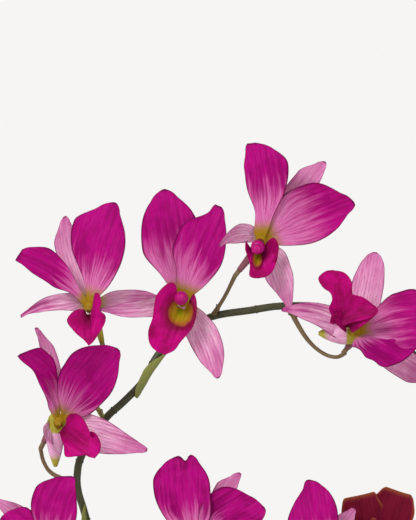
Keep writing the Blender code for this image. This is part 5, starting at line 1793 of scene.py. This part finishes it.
def scatter_tree(name, stock):
    """Copies of the stock's objects on a surface, at random, turned and sized at random."""
    tree, start, end = node_tree(name)
    ids = named_inputs(tree, {
        "Pieces per square metre": ("Float", 1000.0), "Least size": ("Float", 0.005),
        "Greatest size": ("Float", 0.01), "Lean": ("Float", 0.5), "Seed": ("Int", SEED),
        "Finish": ("Material", None),
    })
    new, join = tree.nodes.new, joiner(tree)
    spread = new("GeometryNodeDistributePointsOnFaces")
    stocked = new("GeometryNodeCollectionInfo")
    preset(stocked, {"Collection": stock, "Separate Children": True, "Reset Children": True})
    put = new("GeometryNodeInstanceOnPoints")
    preset(put, {"Pick Instance": True})
    turn = new("FunctionNodeRandomValue")
    turn.data_type = "FLOAT_VECTOR"
    low, high = new("ShaderNodeCombineXYZ"), new("ShaderNodeCombineXYZ")
    less = new("ShaderNodeMath")
    less.operation = "MULTIPLY"
    preset(less, {1: -1.0})
    preset(high, {2: 2 * math.pi})
    size = new("FunctionNodeRandomValue")
    which = new("FunctionNodeRandomValue")
    which.data_type = "INT"
    preset(which, {"Max": len(CHIP_SHAPES) - 1})
    shade = new("FunctionNodeRandomValue")
    store = new("GeometryNodeStoreNamedAttribute")
    store.domain = "INSTANCE"
    preset(store, {"Name": "chip_shade"})
    real, finish = new("GeometryNodeRealizeInstances"), new("GeometryNodeSetMaterial")
    join(start, "Geometry", spread, "Mesh")
    join(start, "Pieces per square metre", spread, "Density")
    for random in (spread, turn, size, which, shade):
        join(start, "Seed", random, "Seed")
    join(spread, "Points", put, "Points")
    join(stocked, 0, put, "Instance")
    join(start, "Lean", less, 0)
    for axis in (0, 1):
        join(less, 0, low, axis)
        join(start, "Lean", high, axis)
    join(low, 0, turn, 0)
    join(high, 0, turn, 1)
    join(turn, 0, put, "Rotation")
    join(start, "Least size", size, 2)
    join(start, "Greatest size", size, 3)
    join(size, 1, put, "Scale")
    join(which, 2, put, "Instance Index")
    join(put, "Instances", store, "Geometry")
    join(shade, 1, store, "Value")
    join(store, "Geometry", real, "Geometry")
    join(real, "Geometry", finish, "Geometry")
    join(start, "Finish", finish, "Material")
    join(finish, "Geometry", end, "Geometry")
    return tree, ids


stock = bpy.data.collections.new("chip_stock")
for k, size in enumerate(CHIP_SHAPES):
    stock.objects.link(chip(k, size))
scatter, scatter_inputs = scatter_tree("scattered chips", stock)


ground = disc("ground", (pot_inside(MEDIUM_TOP) - CHIP_PLAY) * MM, (MEDIUM_TOP - CHIP_SINK) * MM, 64)
values = {
    "Pieces per square metre": 62000.0, "Least size": 6.0 * MM, "Greatest size": 13.0 * MM, "Lean": 0.45,
    "Seed": SEED, "Finish": bark_finish,
}
chips = dress(grown_by("bark_chips", ground, scatter, scatter_inputs, values), "bark_mix")
print("chips:", len(chips.data.polygons) // 24)

# %% Roots that creep over the bark
ROOT_RADII = (1.5, 1.3, 1.2, 1.0, 0.8)
ROOT_STEPS = 9


def creeping_root(start, heading, length, seed):
    """A pale root from a cane's foot, over the chips and down at the rim."""
    points = []
    x, y = start
    angle = math.radians(heading)
    for k in range(ROOT_STEPS + 1):
        t = k / ROOT_STEPS
        angle += 0.45 * math.sin(2.3 * seed + 5 * t)
        height = MEDIUM_TOP + 3.4 + 1.6 * math.sin(3.1 * t * math.pi + seed) - 5.5 * ease(t, 0.75, 1.0)
        points.append((x, y, float(height)))
        x += math.cos(angle) * length / ROOT_STEPS
        y += math.sin(angle) * length / ROOT_STEPS
    return tube(smooth_route(points, 5), ROOT_RADII, 14, seed)


# each root: where it starts (x, y), its heading in degrees from +X and its length
ROOTS = [
    (-15, 9, 150, 30), (-15, 9, 215, 32), (8, -9, 250, 34), (8, -9, 300, 36), (31, -2, 330, 17),
    (10, 22, 110, 24), (31, -2, 20, 16),
]
roots = [creeping_root((x, y), heading, length, k) for k, (x, y, heading, length) in enumerate(ROOTS)]
dress(piece("creeping_roots", roots, root_finish), "bark_mix")
print("roots:", len(roots))

# %% [markdown]
# ## Floor, light and camera
#
# The photograph is a plain product picture: pale all round, with light that is soft and comes mostly from
# above and the left. A large disc is the floor. The sky is pale where the camera looks at it and weaker as
# a lamp, so that the petals keep their depth. The camera is level with the blooms and far off, as the
# photograph's flat view says, and looks at the two sprays.

# %% Floor, lamps and camera
FLOOR_RADIUS_M = 5.2
BLOOMS_MIDDLE = (0.02, 0.0, 0.33)


def floor_skin():
    r = Recipe("pale_floor", Specular_IOR_Level=0.2)
    grain = r.noise(r.place(), 3.0, 4.0, 0.6)
    return r.done(r.mix(grain, tone(236, 234, 232), tone(244, 243, 241)), 0.85)


floor = disc("floor", FLOOR_RADIUS_M, 0, 96)
floor.data.materials.append(floor_skin())
floor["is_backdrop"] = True


def sky(seen, lamp):
    """A pale world: seen is how bright it looks and lamp how much it lights."""
    world = bpy.data.worlds.new("pale sky")
    world.use_nodes = True
    tree = world.node_tree
    join = joiner(tree)
    background = tree.nodes["Background"]
    preset(background, {"Color": tone(246, 245, 244)})
    path = tree.nodes.new("ShaderNodeLightPath")
    strength = tree.nodes.new("ShaderNodeMapRange")
    preset(strength, {"To Min": lamp, "To Max": seen})
    join(path, "Is Camera Ray", strength, "Value")
    join(strength, 0, background, "Strength")
    bpy.context.scene.world = world


def lamp(name, place, size, watts):
    """A round soft lamp that looks at the middle of the blooms."""
    light = bpy.data.lights.new(name, "AREA")
    light.shape = "DISK"
    light.size = size
    light.energy = watts
    obj = placed(name, light)
    obj.location = place
    obj.rotation_euler = (Vector(BLOOMS_MIDDLE) - Vector(place)).to_track_quat("-Z", "Y").to_euler()


sky(1.0, 0.55)
lamp("key", (-0.9, -1.5, 1.5), 0.9, 34)
lamp("fill", (1.5, -1.2, 0.7), 1.2, 9)
lamp("back", (0.3, 1.4, 1.3), 0.9, 14)

CAMERA_DISTANCE_M = 2.0
VIEW_HEIGHT_M = 0.404
FRAME_HEIGHT_M = 0.208
SENSOR_MM = 36.0
view = bpy.data.cameras.new("view")
view.sensor_width = SENSOR_MM
view.lens = SENSOR_MM * CAMERA_DISTANCE_M / FRAME_HEIGHT_M
camera = placed("camera", view)
camera.location = (0, -CAMERA_DISTANCE_M, VIEW_HEIGHT_M)
camera.rotation_euler = (math.radians(90), 0, 0)
bpy.context.scene.camera = camera
bpy.context.scene.view_settings.view_transform = "Standard"
print("lens, mm:", round(view.lens, 1))

# %% [markdown]
# ## Sizes kept, and the end
#
# The box of the finished pieces is printed beside the box of the solids.

# %% Keep the two boxes and finish
made_box = [list(corner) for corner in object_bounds()]
for label, (low, high) in (("solids", cad_box), ("pieces", made_box)):
    print(label, "mm:", [round((b - a) / MM, 1) for a, b in zip(low, high)])
